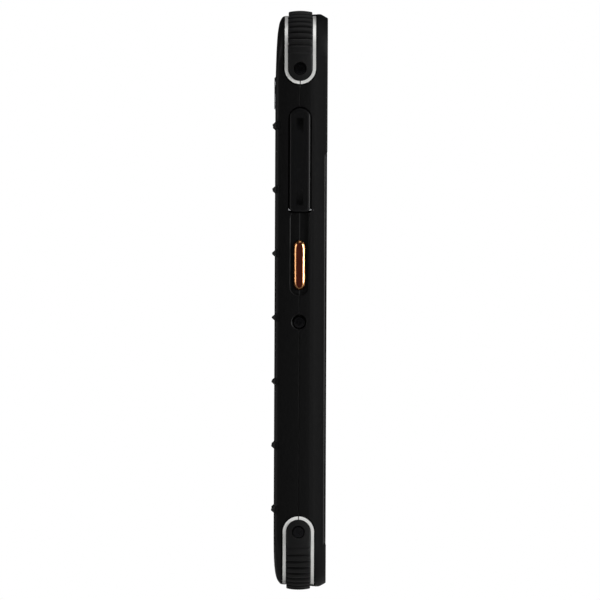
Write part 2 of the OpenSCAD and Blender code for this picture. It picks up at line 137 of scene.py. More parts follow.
def pick(kind: str, wanted: Callable[..., bool]) -> None:
    """Select parts of the mesh being edited.

    Args:
        kind: VERT, EDGE or FACE.
        wanted: Says whether one of them is selected.
    """
    bpy.ops.mesh.select_mode(type=kind)
    bpy.ops.mesh.select_all(action="DESELECT")
    mesh = bpy.context.edit_object.data
    shape = bmesh.from_edit_mesh(mesh)
    items = {"VERT": shape.verts, "EDGE": shape.edges, "FACE": shape.faces}[kind]
    for item in items:
        if wanted(item):
            item.select_set(True)
    shape.select_flush_mode()
    bmesh.update_edit_mesh(mesh)


def face_outwards() -> None:
    """Merge doubles and turn all faces of the mesh being edited outwards."""
    bpy.ops.mesh.select_mode(type="VERT")
    bpy.ops.mesh.select_all(action="SELECT")
    bpy.ops.mesh.remove_doubles(threshold=1e-4)
    bpy.ops.mesh.normals_make_consistent(inside=False)


def grow(steps: Sequence[tuple[float, float, float, Vector, float]]) -> None:
    """Extrude the selected outline step by step.

    Args:
        steps: For each, the rise, the two stretches, the centre of the stretch, and the shift upwards.
    """
    for rise, across, up, centre, shift in steps:
        bpy.ops.mesh.extrude_region_move(TRANSFORM_OT_translate={"value": (0.0, 0.0, rise)})
        if abs(across - 1.0) > 1e-6 or abs(up - 1.0) > 1e-6:
            bpy.ops.transform.resize(value=(across, up, 1.0), center_override=centre)
        if abs(shift) > 1e-6:
            bpy.ops.transform.translate(value=(0.0, shift, 0.0))


def stand_up(piece: Object, facing: Facing) -> Object:
    """Turn a shape that was drawn flat to the way that it faces."""
    piece.rotation_euler = [math.radians(angle) for angle in facing.value]
    return apply_place(piece)


def loft(
    name: str,
    sections: Sequence[Section],
    radii: tuple[float, float],
    facing: Facing,
    centre: float = 0.0,
    segments: int = 8,
) -> Object:
    """Draw a rectangle with round corners and extrude it through the sections.

    Args:
        name: Name of the new object.
        sections: The outlines in order.
        radii: Radii of the low and the high corners at the first section.
        facing: How the loft is stood up.
        centre: Middle of the outlines, across.
        segments: Edges to each round corner.

    Returns:
        The closed solid.
    """
    first = sections[0]
    bpy.ops.object.select_all(action="DESELECT")
    bpy.ops.mesh.primitive_plane_add(size=1.0)
    piece = bpy.context.object
    piece.name = name
    piece.scale = (2.0 * first.half, first.high - first.low, 1.0)
    piece.location = (centre, (first.low + first.high) / 2.0, first.level)
    apply_place(piece)
    bpy.ops.object.mode_set(mode="EDIT")
    for radius, edge in ((radii[0], first.low), (radii[1], first.high)):
        if radius > 0.0:
            pick(
                "VERT",
                lambda v, edge=edge: abs(v.co.y - edge) < 1e-3
                and abs(abs(v.co.x - centre) - first.half) < 1e-3,
            )
            bpy.ops.mesh.bevel(
                offset=radius, segments=segments, affect="VERTICES", clamp_overlap=False
            )
    bpy.ops.mesh.select_all(action="SELECT")
    bpy.ops.mesh.remove_doubles(threshold=1e-4)
    bpy.ops.mesh.select_mode(type="FACE")
    bpy.ops.mesh.select_all(action="SELECT")
    grow(
        [
            (
                b.level - a.level,
                b.half / a.half,
                (b.high - b.low) / (a.high - a.low),
                Vector((centre, (a.low + a.high) / 2.0, b.level)),
                (b.low + b.high - a.low - a.high) / 2.0,
            )
            for a, b in zip(sections, sections[1:])
        ]
    )
    face_outwards()
    bpy.ops.object.mode_set(mode="OBJECT")
    return stand_up(piece, facing)


def prism(
    name: str,
    half: float,
    span: tuple[float, float],
    levels: tuple[float, float],
    radii: tuple[float, float],
    facing: Facing,
    centre: float = 0.0,
    segments: int = 8,
) -> Object:
    """Extrude one rectangle with round corners between two levels.

    Args:
        name: Name of the new object.
        half: Half its width.
        span: Its low and high edge.
        levels: Where the extrusion starts and ends.
        radii: Radii of the low and the high corners.
        facing: How it is stood up.
        centre: Middle of the outline, across.
        segments: Edges to each round corner.

    Returns:
        The closed solid.
    """
    return loft(
        name, [Section(level, half, *span) for level in levels], radii, facing, centre, segments
    )


def turned(
    name: str,
    rings: Sequence[tuple[float, float]],
    facing: Facing,
    centre: tuple[float, float] = (0.0, 0.0),
    segments: int = 48,
) -> Object:
    """Extrude a disc through rings, as if it were turned on a lathe.

    Args:
        name: Name of the new object.
        rings: The level and radius of each ring.
        facing: How it is stood up.
        centre: Where its axis lies on the flat drawing.
        segments: Edges to the circle.

    Returns:
        The closed solid.
    """
    bpy.ops.object.select_all(action="DESELECT")
    bpy.ops.mesh.primitive_circle_add(
        vertices=segments,
        radius=rings[0][1],
        fill_type="NGON",
        location=(centre[0], centre[1], rings[0][0]),
    )
    piece = apply_place(bpy.context.object)
    piece.name = name
    bpy.ops.object.mode_set(mode="EDIT")
    bpy.ops.mesh.select_mode(type="FACE")
    bpy.ops.mesh.select_all(action="SELECT")
    grow(
        [
            (b[0] - a[0], b[1] / a[1], b[1] / a[1], Vector((*centre, b[0])), 0.0)
            for a, b in zip(rings, rings[1:])
        ]
    )
    face_outwards()
    bpy.ops.object.mode_set(mode="OBJECT")
    return stand_up(piece, facing)


def moved(piece: Object, place: Sequence[float]) -> Object:
    """Move a piece within its own mesh."""
    piece.location = place
    return apply_place(piece)


def copy_of(piece: Object, name: str) -> Object:
    """Copy a piece, with a mesh of its own.

    Args:
        piece: The object to copy.
        name: Name of the copy.

    Returns:
        The copy, with its own mesh.
    """
    twin = piece.copy()
    twin.data = piece.data.copy()
    twin.name = name
    bpy.context.scene.collection.objects.link(twin)
    return twin


def mirrored(piece: Object, name: str, side: int, end: int) -> Object:
    """Copy a piece from the +X +Z quarter to another one.

    Args:
        piece: What to copy.
        name: Name of the copy.
        side: 1 or -1, for +X or -X.
        end: 1 or -1, for +Z or -Z.

    Returns:
        The copy.
    """
    twin = copy_of(piece, name)
    twin.scale = (side, 1.0, end)
    apply_place(twin)
    bpy.ops.object.mode_set(mode="EDIT")
    face_outwards()
    bpy.ops.object.mode_set(mode="OBJECT")
    return twin


def joined(pieces: Sequence[Object], name: str) -> Object:
    """Join pieces that don't touch into one object.

    Args:
        pieces: The objects; all but the first are used up.
        name: Name of the result.

    Returns:
        The joined object.
    """
    bpy.ops.object.select_all(action="DESELECT")
    for piece in pieces:
        piece.select_set(True)
    bpy.context.view_layer.objects.active = pieces[0]
    bpy.ops.object.join()
    pieces[0].name = name
    return pieces[0]


def on_corners(piece: Object, name: str) -> Object:
    """Join a cutter's copies at all four corners; the first is used up.

    Args:
        piece: The +X +Z corner's cutter.
        name: Name of the result.

    Returns:
        The four copies as one object.
    """
    copies = [mirrored(piece, name, side, end) for side in (1, -1) for end in (1, -1)]
    bpy.data.objects.remove(piece)
    return joined(copies, name)


def combine(piece: Object, tool: Object, action: Action, keep: bool = False) -> Object:
    """Add, cut or trim a piece with another solid.

    Args:
        piece: What is changed.
        tool: The other solid.
        action: What it does.
        keep: Whether the other solid is needed again.

    Returns:
        The piece.
    """
    activate(piece)
    modifier = piece.modifiers.new(action.name.lower(), "BOOLEAN")
    modifier.operation = action.value
    modifier.solver = "EXACT"
    modifier.object = tool
    bpy.ops.object.modifier_apply(modifier=modifier.name)
    if not keep:
        bpy.data.objects.remove(tool)
    return piece


def soften(piece: Object, width: float, segments: int = 2, angle: float = 35.0) -> Object:
    """Break a piece's sharp edges with a small bevel.

    Args:
        piece: The piece.
        width: Width of the bevel.
        segments: Its segments.
        angle: Edges sharper than this, in degrees, are bevelled.

    Returns:
        The piece.
    """
    activate(piece)
    modifier = piece.modifiers.new("edges", "BEVEL")
    modifier.width = width
    modifier.segments = segments
    modifier.limit_method = "ANGLE"
    modifier.angle_limit = math.radians(angle)
    modifier.harden_normals = False
    bpy.ops.object.modifier_apply(modifier=modifier.name)
    return piece


# ---- finishes ----


def tint(code: str) -> tuple[float, float, float, float]:
    """Turn an sRGB hex colour to linear red, green, blue and alpha.

    Args:
        code: An sRGB hex value.

    Returns:
        The colour.
    """
    parts = [int(code[i : i + 2], 16) / 255.0 for i in (1, 3, 5)]
    red, green, blue = (
        c / 12.92 if c <= 0.04045 else ((c + 0.055) / 1.055) ** 2.4 for c in parts
    )
    return red, green, blue, 1.0


def add_node(
    tree: bpy.types.NodeTree,
    kind: str,
    settings: dict[str, object] | None = None,
    sockets: dict[str | int, object] | None = None,
) -> bpy.types.Node:
    """Add a node, set its properties, and set or link its inputs.

    Args:
        tree: The node tree.
        kind: The node's type.
        settings: Its properties by name.
        sockets: Its inputs by name or number; a socket of another node is linked.

    Returns:
        The node.
    """
    node = tree.nodes.new(kind)
    for name, value in (settings or {}).items():
        setattr(node, name, value)
    for name, value in (sockets or {}).items():
        if isinstance(value, bpy.types.NodeSocket):
            tree.links.new(value, node.inputs[name])
        else:
            node.inputs[name].default_value = value
    return node


class Pattern(Enum):
    """What a surface shows up close."""

    GRAIN = "even grain, from spark-eroded moulds, rubber or paint"
    BRUSHED = "fine parallel lines"
    WOVEN = "crossing wires or threads"
    TRACKS = "circuit tracks under a lacquer"
    CRINKLED = "wide soft folds"


@dataclass(frozen=True)
class Finish:
    """What a piece is made of and how its surface was made.

    Attributes:
        name: The material's name.
        light: Its lighter colour.
        dark: Its darker colour.
        roughness: Its roughness where it is most and least polished.
        pattern: What it shows up close.
        size: Size of the pattern, in millimetres.
        relief: Height of the pattern, in millimetres.
        metallic: 1 for bare metal.
        ior: Index of refraction; a metal keeps the shader's own.
        specular: Strength of its reflections; pits and dust on a matt mould's grain lower it.
        coat: Weight of a clear coat.
        sheen: Weight of a dusty sheen.
        stretch: How the pattern is scaled along X, Y and Z.
    """

    name: str
    light: str
    dark: str
    roughness: tuple[float, float]
    pattern: Pattern = Pattern.GRAIN
    size: float = 0.4
    relief: float = 0.01
    metallic: float = 0.0
    ior: float | None = None
    specular: float = 0.5
    coat: float = 0.0
    sheen: float = 0.0
    stretch: tuple[float, float, float] = (1.0, 1.0, 1.0)

    def figure(self, tree: bpy.types.NodeTree) -> bpy.types.NodeSocket:
        """Build the pattern from 0 to 1.

        Args:
            tree: The node tree.

        Returns:
            The socket that carries it.
        """
        place = add_node(tree, "ShaderNodeTexCoord").outputs["Object"]
        scale = [s / (self.size * MM) for s in self.stretch]
        scaled = add_node(
            tree, "ShaderNodeMapping", sockets={"Vector": place, "Scale": scale}
        ).outputs["Vector"]
        if self.pattern is Pattern.WOVEN:
            waves = [
                add_node(
                    tree,
                    "ShaderNodeTexWave",
                    {"bands_direction": axis, "wave_profile": "SIN"},
                    {"Vector": scaled, "Scale": 0.314, "Distortion": 0.0},
                ).outputs["Fac"]
                for axis in ("X", "Z")
            ]
            return add_node(
                tree, "ShaderNodeMath", {"operation": "MAXIMUM"}, {0: waves[0], 1: waves[1]}
            ).outputs[0]
        if self.pattern is Pattern.TRACKS:
            return add_node(
                tree,
                "ShaderNodeTexVoronoi",
                {"distance": "MANHATTAN", "feature": "F1"},
                {"Vector": scaled, "Scale": 1.0},
            ).outputs["Distance"]
        detail = 2.0 if self.pattern is Pattern.CRINKLED else 5.0
        return add_node(
            tree,
            "ShaderNodeTexNoise",
            sockets={"Vector": scaled, "Scale": 1.0, "Detail": detail, "Roughness": 0.55},
        ).outputs["Fac"]

    def build(self) -> Material:
        """Build the material.

        Returns:
            The material, or the one built before.
        """
        known = bpy.data.materials.get(self.name)
        if known is not None:
            return known
        material = bpy.data.materials.new(self.name)
        material.use_nodes = True
        tree = material.node_tree
        shader = tree.nodes["Principled BSDF"]
        figure = self.figure(tree)
        mix = add_node(
            tree,
            "ShaderNodeMix",
            {"data_type": "RGBA"},
            {"Factor": figure, 6: tint(self.dark), 7: tint(self.light)},
        )
        tree.links.new(mix.outputs[2], shader.inputs["Base Color"])
        gloss = add_node(
            tree,
            "ShaderNodeMapRange",
            sockets={
                "Value": figure,
                "From Min": 0.25,
                "From Max": 0.75,
                "To Min": self.roughness[0],
                "To Max": self.roughness[1],
            },
        )
        tree.links.new(gloss.outputs["Result"], shader.inputs["Roughness"])
        relief = add_node(
            tree,
            "ShaderNodeBump",
            sockets={"Strength": 0.6, "Distance": self.relief * MM, "Height": figure},
        )
        tree.links.new(relief.outputs["Normal"], shader.inputs["Normal"])
        shader.inputs["Metallic"].default_value = self.metallic
        if self.ior is not None:
            shader.inputs["IOR"].default_value = self.ior
        shader.inputs["Specular IOR Level"].default_value = self.specular
        shader.inputs["Coat Weight"].default_value = self.coat
        shader.inputs["Coat Roughness"].default_value = 0.08
        shader.inputs["Sheen Weight"].default_value = self.sheen
        return material


# Glass-filled polycarbonate, moulded against spark-eroded steel: near black and dull, with a fine grain.
# The real grain is about 0.1 mm, drawn at 0.35 mm so that it shows.
CASING = Finish(
    "moulded_polycarbonate",
    "#080809",
    "#050505",
    (0.48, 0.6),
    size=0.35,
    relief=0.012,
    ior=1.5,
    specular=0.1,
)
# The same plastic from a smoother mould: a little closer to satin.
COVER = Finish(
    "satin_polycarbonate", "#09090A", "#060607", (0.42, 0.54), size=0.3, relief=0.006, ior=1.5, specular=0.12
)
# The same again, polished a little by thumbs.
KEY_BLACK = Finish(
    "black_key_plastic", "#101011", "#0A0A0B", (0.36, 0.46), size=0.3, relief=0.006, ior=1.5, specular=0.18
)
# Thermoplastic rubber from a matt mould: dark grey, with a soft dusty sheen on its ribs.
BUMPER = Finish(
    "thermoplastic_rubber",
    "#111112",
    "#090909",
    (0.5, 0.64),
    size=0.3,
    relief=0.015,
    ior=1.5,
    specular=0.14,
    sheen=0.03,
)
# Silicone rubber in the joints: black and matt.
SEAL = Finish("silicone_rubber", "#0A0A0B", "#060607", (0.6, 0.75), size=0.4, relief=0.008, ior=1.42)
# Zinc alloy with satin silver paint: pale, with fine flake.
TRIM = Finish(
    "satin_silver_zinc", "#F0F0EE", "#E4E4E2", (0.34, 0.44), size=0.25, relief=0.004, metallic=0.2
)
# Aluminium anodised to a dark copper: metal under a coloured skin, finely blasted.
COPPER = Finish(
    "anodised_copper_aluminium", "#6A2E20", "#55231A", (0.34, 0.46), size=0.25, relief=0.006, metallic=0.9
)
# The key's rim, cut with a diamond tool after anodising: bright and streaked.
COPPER_CUT = Finish(
    "diamond_cut_copper",
    "#B4885F",
    "#A36C42",
    (0.2, 0.3),
    Pattern.BRUSHED,
    size=0.3,
    relief=0.002,
    metallic=1.0,
    stretch=(1.0, 1.0, 0.1),
)
# Steel screws in black zinc: dark metal that glints on its edges.
SCREW = Finish("black_zinc_steel", "#2E2E30", "#1E1E20", (0.25, 0.38), size=0.3, relief=0.004, metallic=1.0)
PIN = Finish(
    "ground_steel",
    "#C9CACC",
    "#A9AAAD",
    (0.18, 0.3),
    Pattern.BRUSHED,
    size=0.3,
    relief=0.002,
    metallic=1.0,
    stretch=(1.0, 0.1, 1.0),
)
# Die-cast magnesium, chromated: dull grey with soft clouds.
MAGNESIUM = Finish(
    "cast_magnesium",
    "#A4A6A6",
    "#85888A",
    (0.45, 0.6),
    Pattern.CRINKLED,
    size=6.0,
    relief=0.02,
    metallic=1.0,
)
# Tin-plated steel cans: bright, rolled one way.
SHIELD = Finish(
    "tinned_steel",
    "#CFD0D0",
    "#B0B1B3",
    (0.22, 0.34),
    Pattern.BRUSHED,
    size=0.8,
    relief=0.003,
    metallic=1.0,
    stretch=(0.1, 1.0, 1.0),
)
# Glass-fibre board under green solder lacquer: tracks show as darker cells.
BOARD = Finish(
    "lacquered_circuit_board",
    "#1F6B3C",
    "#123F25",
    (0.3, 0.4),
    Pattern.TRACKS,
    size=2.2,
    relief=0.03,
    coat=0.4,
)
CARD = Finish("printed_pvc", "#DDD9CA", "#C9C4B2", (0.4, 0.5), size=0.4, relief=0.004, ior=1.53)
MEMORY = Finish("moulded_epoxy", "#1B1C20", "#121317", (0.35, 0.45), size=0.3, relief=0.005, ior=1.55)
# Aluminium laminate over the cells: dark, printed and softly crinkled.
FOIL = Finish(
    "battery_laminate",
    "#3A3C3F",
    "#27292B",
    (0.28, 0.42),
    Pattern.CRINKLED,
    size=9.0,
    relief=0.08,
    metallic=0.6,
)
# Polyimide film over copper: clear amber with a gloss.
FLEX = Finish(
    "polyimide_film", "#C47A26", "#8E5216", (0.2, 0.3), Pattern.TRACKS, size=1.2, relief=0.01, coat=0.6
)
CERAMIC = Finish("fired_ceramic", "#D8D0BA", "#BDB59D", (0.5, 0.65), size=0.5, relief=0.012, ior=1.7)
MODULE = Finish("black_module_plastic", "#17181A", "#0E0F10", (0.4, 0.5), size=0.4, relief=0.006, ior=1.5)
# Woven steel cloth at about 0.3 mm, dark between its wires.
MESH = Finish(
    "woven_steel_mesh",
    "#6A6B6D",
    "#141415",
    (0.35, 0.5),
    Pattern.WOVEN,
    size=0.35,
    relief=0.06,
    metallic=0.9,
)
# Turned aluminium, anodised grey: fine tool lines.
RING = Finish(
    "turned_aluminium",
    "#9C9EA1",
    "#84868A",
    (0.22, 0.32),
    Pattern.BRUSHED,
    size=0.3,
    relief=0.003,
    metallic=1.0,
    stretch=(1.0, 0.2, 1.0),
)
FLASH = Finish(
    "moulded_acrylic_lens", "#F1EEDD", "#D9D5BE", (0.12, 0.2), size=0.8, relief=0.01, ior=1.49, coat=0.5
)


@dataclass(frozen=True)
class GlassFinish:
    """Chemically strengthened cover glass, printed black on its back: a deep black with a clean gloss.

    Attributes:
        name: The material's name.
        ink: Colour of the printed border.
        screen: Colour of the sleeping display inside the border.
        half: Half the display's width and length, in millimetres.
    """

    name: str = "strengthened_glass"
    ink: str = "#060607"
    screen: str = "#0E1014"
    half: tuple[float, float] = (37.6, 78.4)

    def build(self) -> Material:
        """Build the material.

        Returns:
            The material.
        """
        material = bpy.data.materials.new(self.name)
        material.use_nodes = True
        tree = material.node_tree
        shader = tree.nodes["Principled BSDF"]
        place = add_node(tree, "ShaderNodeTexCoord").outputs["Object"]
        parts = add_node(tree, "ShaderNodeSeparateXYZ", sockets={0: place}).outputs
        inside = []
        for part, half in ((parts["X"], self.half[0]), (parts["Z"], self.half[1])):
            size = add_node(tree, "ShaderNodeMath", {"operation": "ABSOLUTE"}, {0: part}).outputs[0]
            within = add_node(
                tree, "ShaderNodeMath", {"operation": "LESS_THAN"}, {0: size, 1: half * MM}
            )
            inside.append(within.outputs[0])
        shown = add_node(
            tree, "ShaderNodeMath", {"operation": "MULTIPLY"}, {0: inside[0], 1: inside[1]}
        ).outputs[0]
        mix = add_node(
            tree,
            "ShaderNodeMix",
            {"data_type": "RGBA"},
            {"Factor": shown, 6: tint(self.ink), 7: tint(self.screen)},
        )
        tree.links.new(mix.outputs[2], shader.inputs["Base Color"])
        smears = add_node(
            tree, "ShaderNodeTexNoise", sockets={"Vector": place, "Scale": 45.0, "Detail": 3.0}
        ).outputs["Fac"]
        gloss = add_node(
            tree, "ShaderNodeMapRange", sockets={"Value": smears, "To Min": 0.04, "To Max": 0.13}
        ).outputs["Result"]
        tree.links.new(gloss, shader.inputs["Roughness"])
        shader.inputs["IOR"].default_value = 1.5
        return material


@dataclass(frozen=True)
class LensFinish:
    """Coated camera glass: black with faint rings of the lens barrel behind it.

    Attributes:
        name: The material's name.
        centre: Middle of the lens, X and Z, in millimetres.
    """

    name: str
    centre: tuple[float, float]

    def build(self) -> Material:
        """Build the material.

        Returns:
            The material.
        """
        material = bpy.data.materials.new(self.name)
        material.use_nodes = True
        tree = material.node_tree
        shader = tree.nodes["Principled BSDF"]
        place = add_node(tree, "ShaderNodeTexCoord").outputs["Object"]
        flat = add_node(
            tree,
            "ShaderNodeVectorMath",
            {"operation": "MULTIPLY"},
            {0: place, 1: (1.0, 0.0, 1.0)},
        ).outputs[0]
        distance = add_node(
            tree,
            "ShaderNodeVectorMath",
            {"operation": "DISTANCE"},
            {0: flat, 1: (self.centre[0] * MM, 0.0, self.centre[1] * MM)},
        ).outputs["Value"]
        rings = add_node(
            tree, "ShaderNodeMath", {"operation": "PINGPONG"}, {0: distance, 1: 0.9 * MM}
        ).outputs[0]
        shade = add_node(
            tree,
            "ShaderNodeMapRange",
            sockets={"Value": rings, "From Min": 0.0, "From Max": 0.9 * MM, "To Min": 0.0, "To Max": 1.0},
        ).outputs["Result"]
        mix = add_node(
            tree,
            "ShaderNodeMix",
            {"data_type": "RGBA"},
            {"Factor": shade, 6: tint("#050508"), 7: tint("#14161E")},
        )
        tree.links.new(mix.outputs[2], shader.inputs["Base Color"])
        gloss = add_node(
            tree, "ShaderNodeMapRange", sockets={"Value": shade, "To Min": 0.05, "To Max": 0.12}
        ).outputs["Result"]
        tree.links.new(gloss, shader.inputs["Roughness"])
        shader.inputs["IOR"].default_value = 1.52
        shader.inputs["Coat Weight"].default_value = 0.6
        return material


def hand_over(
    piece: Object,
    materials: Sequence[Material],
    body: str,
    stands_for: Sequence[str],
    smooth: float = 32.0,
) -> Object:
    """Finish a piece: bring it to metres, shade and dress it, and fix it to its body.

    Args:
        piece: The piece, modelled in millimetres.
        materials: Its materials; its faces keep the numbers they have.
        body: The body that it rides on.
        stands_for: The nodes that it replaces.
        smooth: Edges flatter than this, in degrees, are shaded smooth.

    Returns:
        The finished piece.
    """
    piece.scale = (MM, MM, MM)
    apply_place(piece)
    bpy.ops.object.shade_smooth_by_angle(angle=math.radians(smooth))
    weighting = piece.modifiers.new("weighting", "WEIGHTED_NORMAL")
    weighting.keep_sharp = True
    weighting.weight = 100
    bpy.ops.object.modifier_apply(modifier=weighting.name)
    numbers = [face.material_index for face in piece.data.polygons] if len(materials) > 1 else None
    piece.data.materials.clear()
    for material in materials:
        piece.data.materials.append(material)
    if numbers is not None:
        piece.data.polygons.foreach_set("material_index", numbers)
    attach(piece, body)
    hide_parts(*stands_for)
    LOG.info("%s: %d faces", piece.name, len(piece.data.polygons))
    return piece


# ---- the object ----


def node_box(node: str) -> tuple[Vector, Vector]:
    """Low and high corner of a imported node, in millimetres."""
    low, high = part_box(node)
    return low / MM, high / MM


@dataclass(frozen=True)
class Datum:
    """Levels and outlines that several sub-assemblies share, in millimetres.

    Attributes:
        half_w: Half the casing's width.
        half_len: Half the casing's length.
        front_y: The front guards' plane.
        crest_y: The crests of the ridges.
        seam: The two faces of the parting gap.
        corner: Half the width and length over the corner bumpers.
        ridge_h: Height of a ridge above the back.
        corner_r: Radius of the casing's corners.
        wall: Thickness of the side walls.
        end_wall: Thickness of the end walls.
        bumper_r: Outer radius of a bumper, seen from the front.
        screw_inset: Distance of a bumper's screw from the outside of its corner.
        floor_drop: Depth of the bumpers' channels below the sides and below the ends.
        passage_radius: Radius of the passages for the screws' shanks.
    """

    half_w: float
    half_len: float
    front_y: float
    crest_y: float
    seam: tuple[float, float]
    corner: tuple[float, float]
    ridge_h: float = 0.9
    corner_r: float = 14.0
    wall: float = 2.3
    end_wall: float = 3.2
    bumper_r: float = 15.2
    screw_inset: float = 19.6
    floor_drop: tuple[float, float] = (1.3, 0.8)
    passage_radius: float = 1.15

    @classmethod
    def read(cls) -> "Datum":
        """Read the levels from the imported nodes.

        Returns:
            The datum.
        """
        front_low, front_high = node_box("front_casing")
        rear_low, rear_high = node_box("rear_casing")
        bumper_high = node_box("bumper_top_right")[1]
        return cls(
            half_w=rear_high.x,
            half_len=rear_high.z,
            front_y=front_low.y,
            crest_y=rear_high.y,
            seam=(front_high.y, rear_low.y),
            corner=(bumper_high.x, bumper_high.z),
        )

    @property
    def part_y(self) -> float:
        """The parting plane."""
        return sum(self.seam) / 2.0

    @property
    def back_y(self) -> float:
        """The flat of the back."""
        return self.crest_y - self.ridge_h

    @property
    def inner(self) -> tuple[float, float]:
        """Half the cavity's width and length."""
        return self.half_w - self.wall, self.half_len - self.end_wall

    @property
    def arc(self) -> tuple[float, float]:
        """Centre of the +X +Z bumper's arc, X and Z."""
        return self.corner[0] - self.bumper_r, self.corner[1] - self.bumper_r

    @property
    def screw(self) -> tuple[float, float]:
        """Place of the end leg's screw in X, and of the side leg's in Z."""
        return self.corner[0] - self.screw_inset, self.corner[1] - self.screw_inset

    @property
    def channel(self) -> tuple[float, float]:
        """Half the width and length of the plate at the bottom of the bumpers' channels."""
        return self.half_w - self.floor_drop[0], self.half_len - self.floor_drop[1]

    def channel_floor(self) -> Object:
        """Model the plate that the bumpers lie on.

        Returns:
            The plate.
        """
        half, length = self.channel
        radius = half - self.arc[0]
        return prism(
            "channel_floor",
            half,
            (-length, length),
            (-FAR, FAR),
            (radius, radius),
            Facing.FRONT,
            segments=16,
        )

    def corner_wrap(self, half: float) -> Object:
        """Model the band that wraps round the +X +Z corner, with a round end at each screw.

        Args:
            half: Half its width.

        Returns:
            The band, as a solid that reaches far outwards.
        """
        side = prism(
            "wrap",
            half,
            (self.screw[1] - half, FAR),
            (self.arc[0], FAR),
            (half, 0.0),
            Facing.SIDE,
            self.part_y,
            segments=20,
        )
        end = prism(
            "wrap_end",
            half,
            (-FAR, half - self.screw[0]),
            (self.arc[1], FAR),
            (0.0, half),
            Facing.END,
            self.part_y,
            segments=20,
        )
        return combine(side, end, Action.ADD)


@dataclass(frozen=True)
class Flap:
    """A hinged cover: its hinge lies along Y at the origin, it lies up +Z, and its outside faces -X.

    Attributes:
        name: The cover's node and body.
        length: Its length.
        notches: Each nail notch's square end, and which way its floor runs out.
        turn: How it is turned about Y, in degrees.
        thick: Its thickness.
        width: Its width.
        gap: Gap between it and its pocket.
        bore_r: Radius of the bore for its pin.
        pocket_floor: Depth of its pocket below the hinge.
        notch_half: Half the width of a nail notch.
    """

    name: str
    length: float
    notches: tuple[tuple[float, int], ...]
    turn: float = 0.0
    thick: float = 1.5
    width: float = 7.3
    gap: float = 0.3
    bore_r: float = 0.4
    pocket_floor: float = 0.9
    notch_half: float = 1.15

    @property
    def hinge(self) -> Vector:
        """The middle of the hinge, from its packed pin."""
        low, high = node_box(f"{self.name}_pin")
        return (low + high) / 2.0

    def placed(self, piece: Object) -> Object:
        """Bring a piece from the hinge's own frame to its place."""
        piece.rotation_euler = (0.0, math.radians(self.turn), 0.0)
        return moved(piece, self.hinge)

    def pocket(self) -> Object:
        """Model the pocket that the cover lies in, with a chamfered rim and its hinge bore.

        Returns:
            The pocket as a solid, in its place.
        """
        half = self.width / 2.0 + self.gap
        low = -self.thick / 2.0 - self.gap
        high = self.length - self.thick / 2.0 + self.gap
        rim = 0.14
        sections = [
            Section(-4.0, half + rim, low - rim, high + rim),
            Section(-0.82, half + rim, low - rim, high + rim),
            Section(-0.82 + rim, half, low, high),
            Section(self.pocket_floor, half, low, high),
        ]
        pocket = loft("pocket", sections, (1.2, half + rim), Facing.SIDE, segments=14)
        reach = self.width / 2.0 + 1.1
        bore = turned("bore", [(-reach, self.bore_r), (reach, self.bore_r)], Facing.FRONT, segments=24)
        return self.placed(combine(pocket, bore, Action.ADD))

    def build(self) -> Object:
        """Model the cover.

        Returns:
            The cover, in its place.
        """
        half = self.width / 2.0
        outer, low, high = -self.thick / 2.0, -self.thick / 2.0, self.length - self.thick / 2.0
        rows = [(0.0, 1.3), (0.04, 0.95), (0.12, 0.6), (0.3, 0.36), (0.5, 0.12), (0.68, 0.0)]
        rows.append((self.thick, 0.0))
        sections = [
            Section(outer + rise, half - inset, low + inset * 0.6, high - inset)
            for rise, inset in rows
        ]
        cover = loft(self.name, sections, (1.0, half - rows[0][1]), Facing.SIDE, segments=14)
        knuckle = prism(
            "knuckle",
            self.thick / 2.0 + 0.01,
            (low - 0.01, self.length + 1.0),
            (-self.width, self.width),
            (self.thick / 2.0, 0.0),
            Facing.FRONT,
            segments=10,
        )
        combine(cover, knuckle, Action.TRIM)
        bore = turned(
            "bore", [(-self.width, self.bore_r), (self.width, self.bore_r)], Facing.FRONT, segments=24
        )
        combine(cover, bore, Action.CUT)
        for end, way in self.notches:
            combine(cover, self.notch(end, way), Action.CUT)
        return self.placed(cover)

    def notch(self, end: float, way: int) -> Object:
        """Model a nail notch whose floor runs out to the surface.

        Args:
            end: Where its square end lies.
            way: 1 or -1, the way that its floor runs out.

        Returns:
            The cutter.
        """
        floor = -self.thick / 2.0 + 0.65
        sections = [
            Section(
                level, self.notch_half, *sorted((end, end + way * length))
            )
            for level, length in ((-3.0, 5.1), (-self.thick / 2.0, 5.1), (floor, 1.7))
        ]
        return loft("notch", sections, (0.25, 0.25), Facing.SIDE, segments=3)


CARD_COVER = Flap("card_cover", 35.2, ((30.9, -1), (1.75, 1)))
USB_COVER = Flap("usb_cover", 17.2, ((12.9, -1),), turn=-90.0)


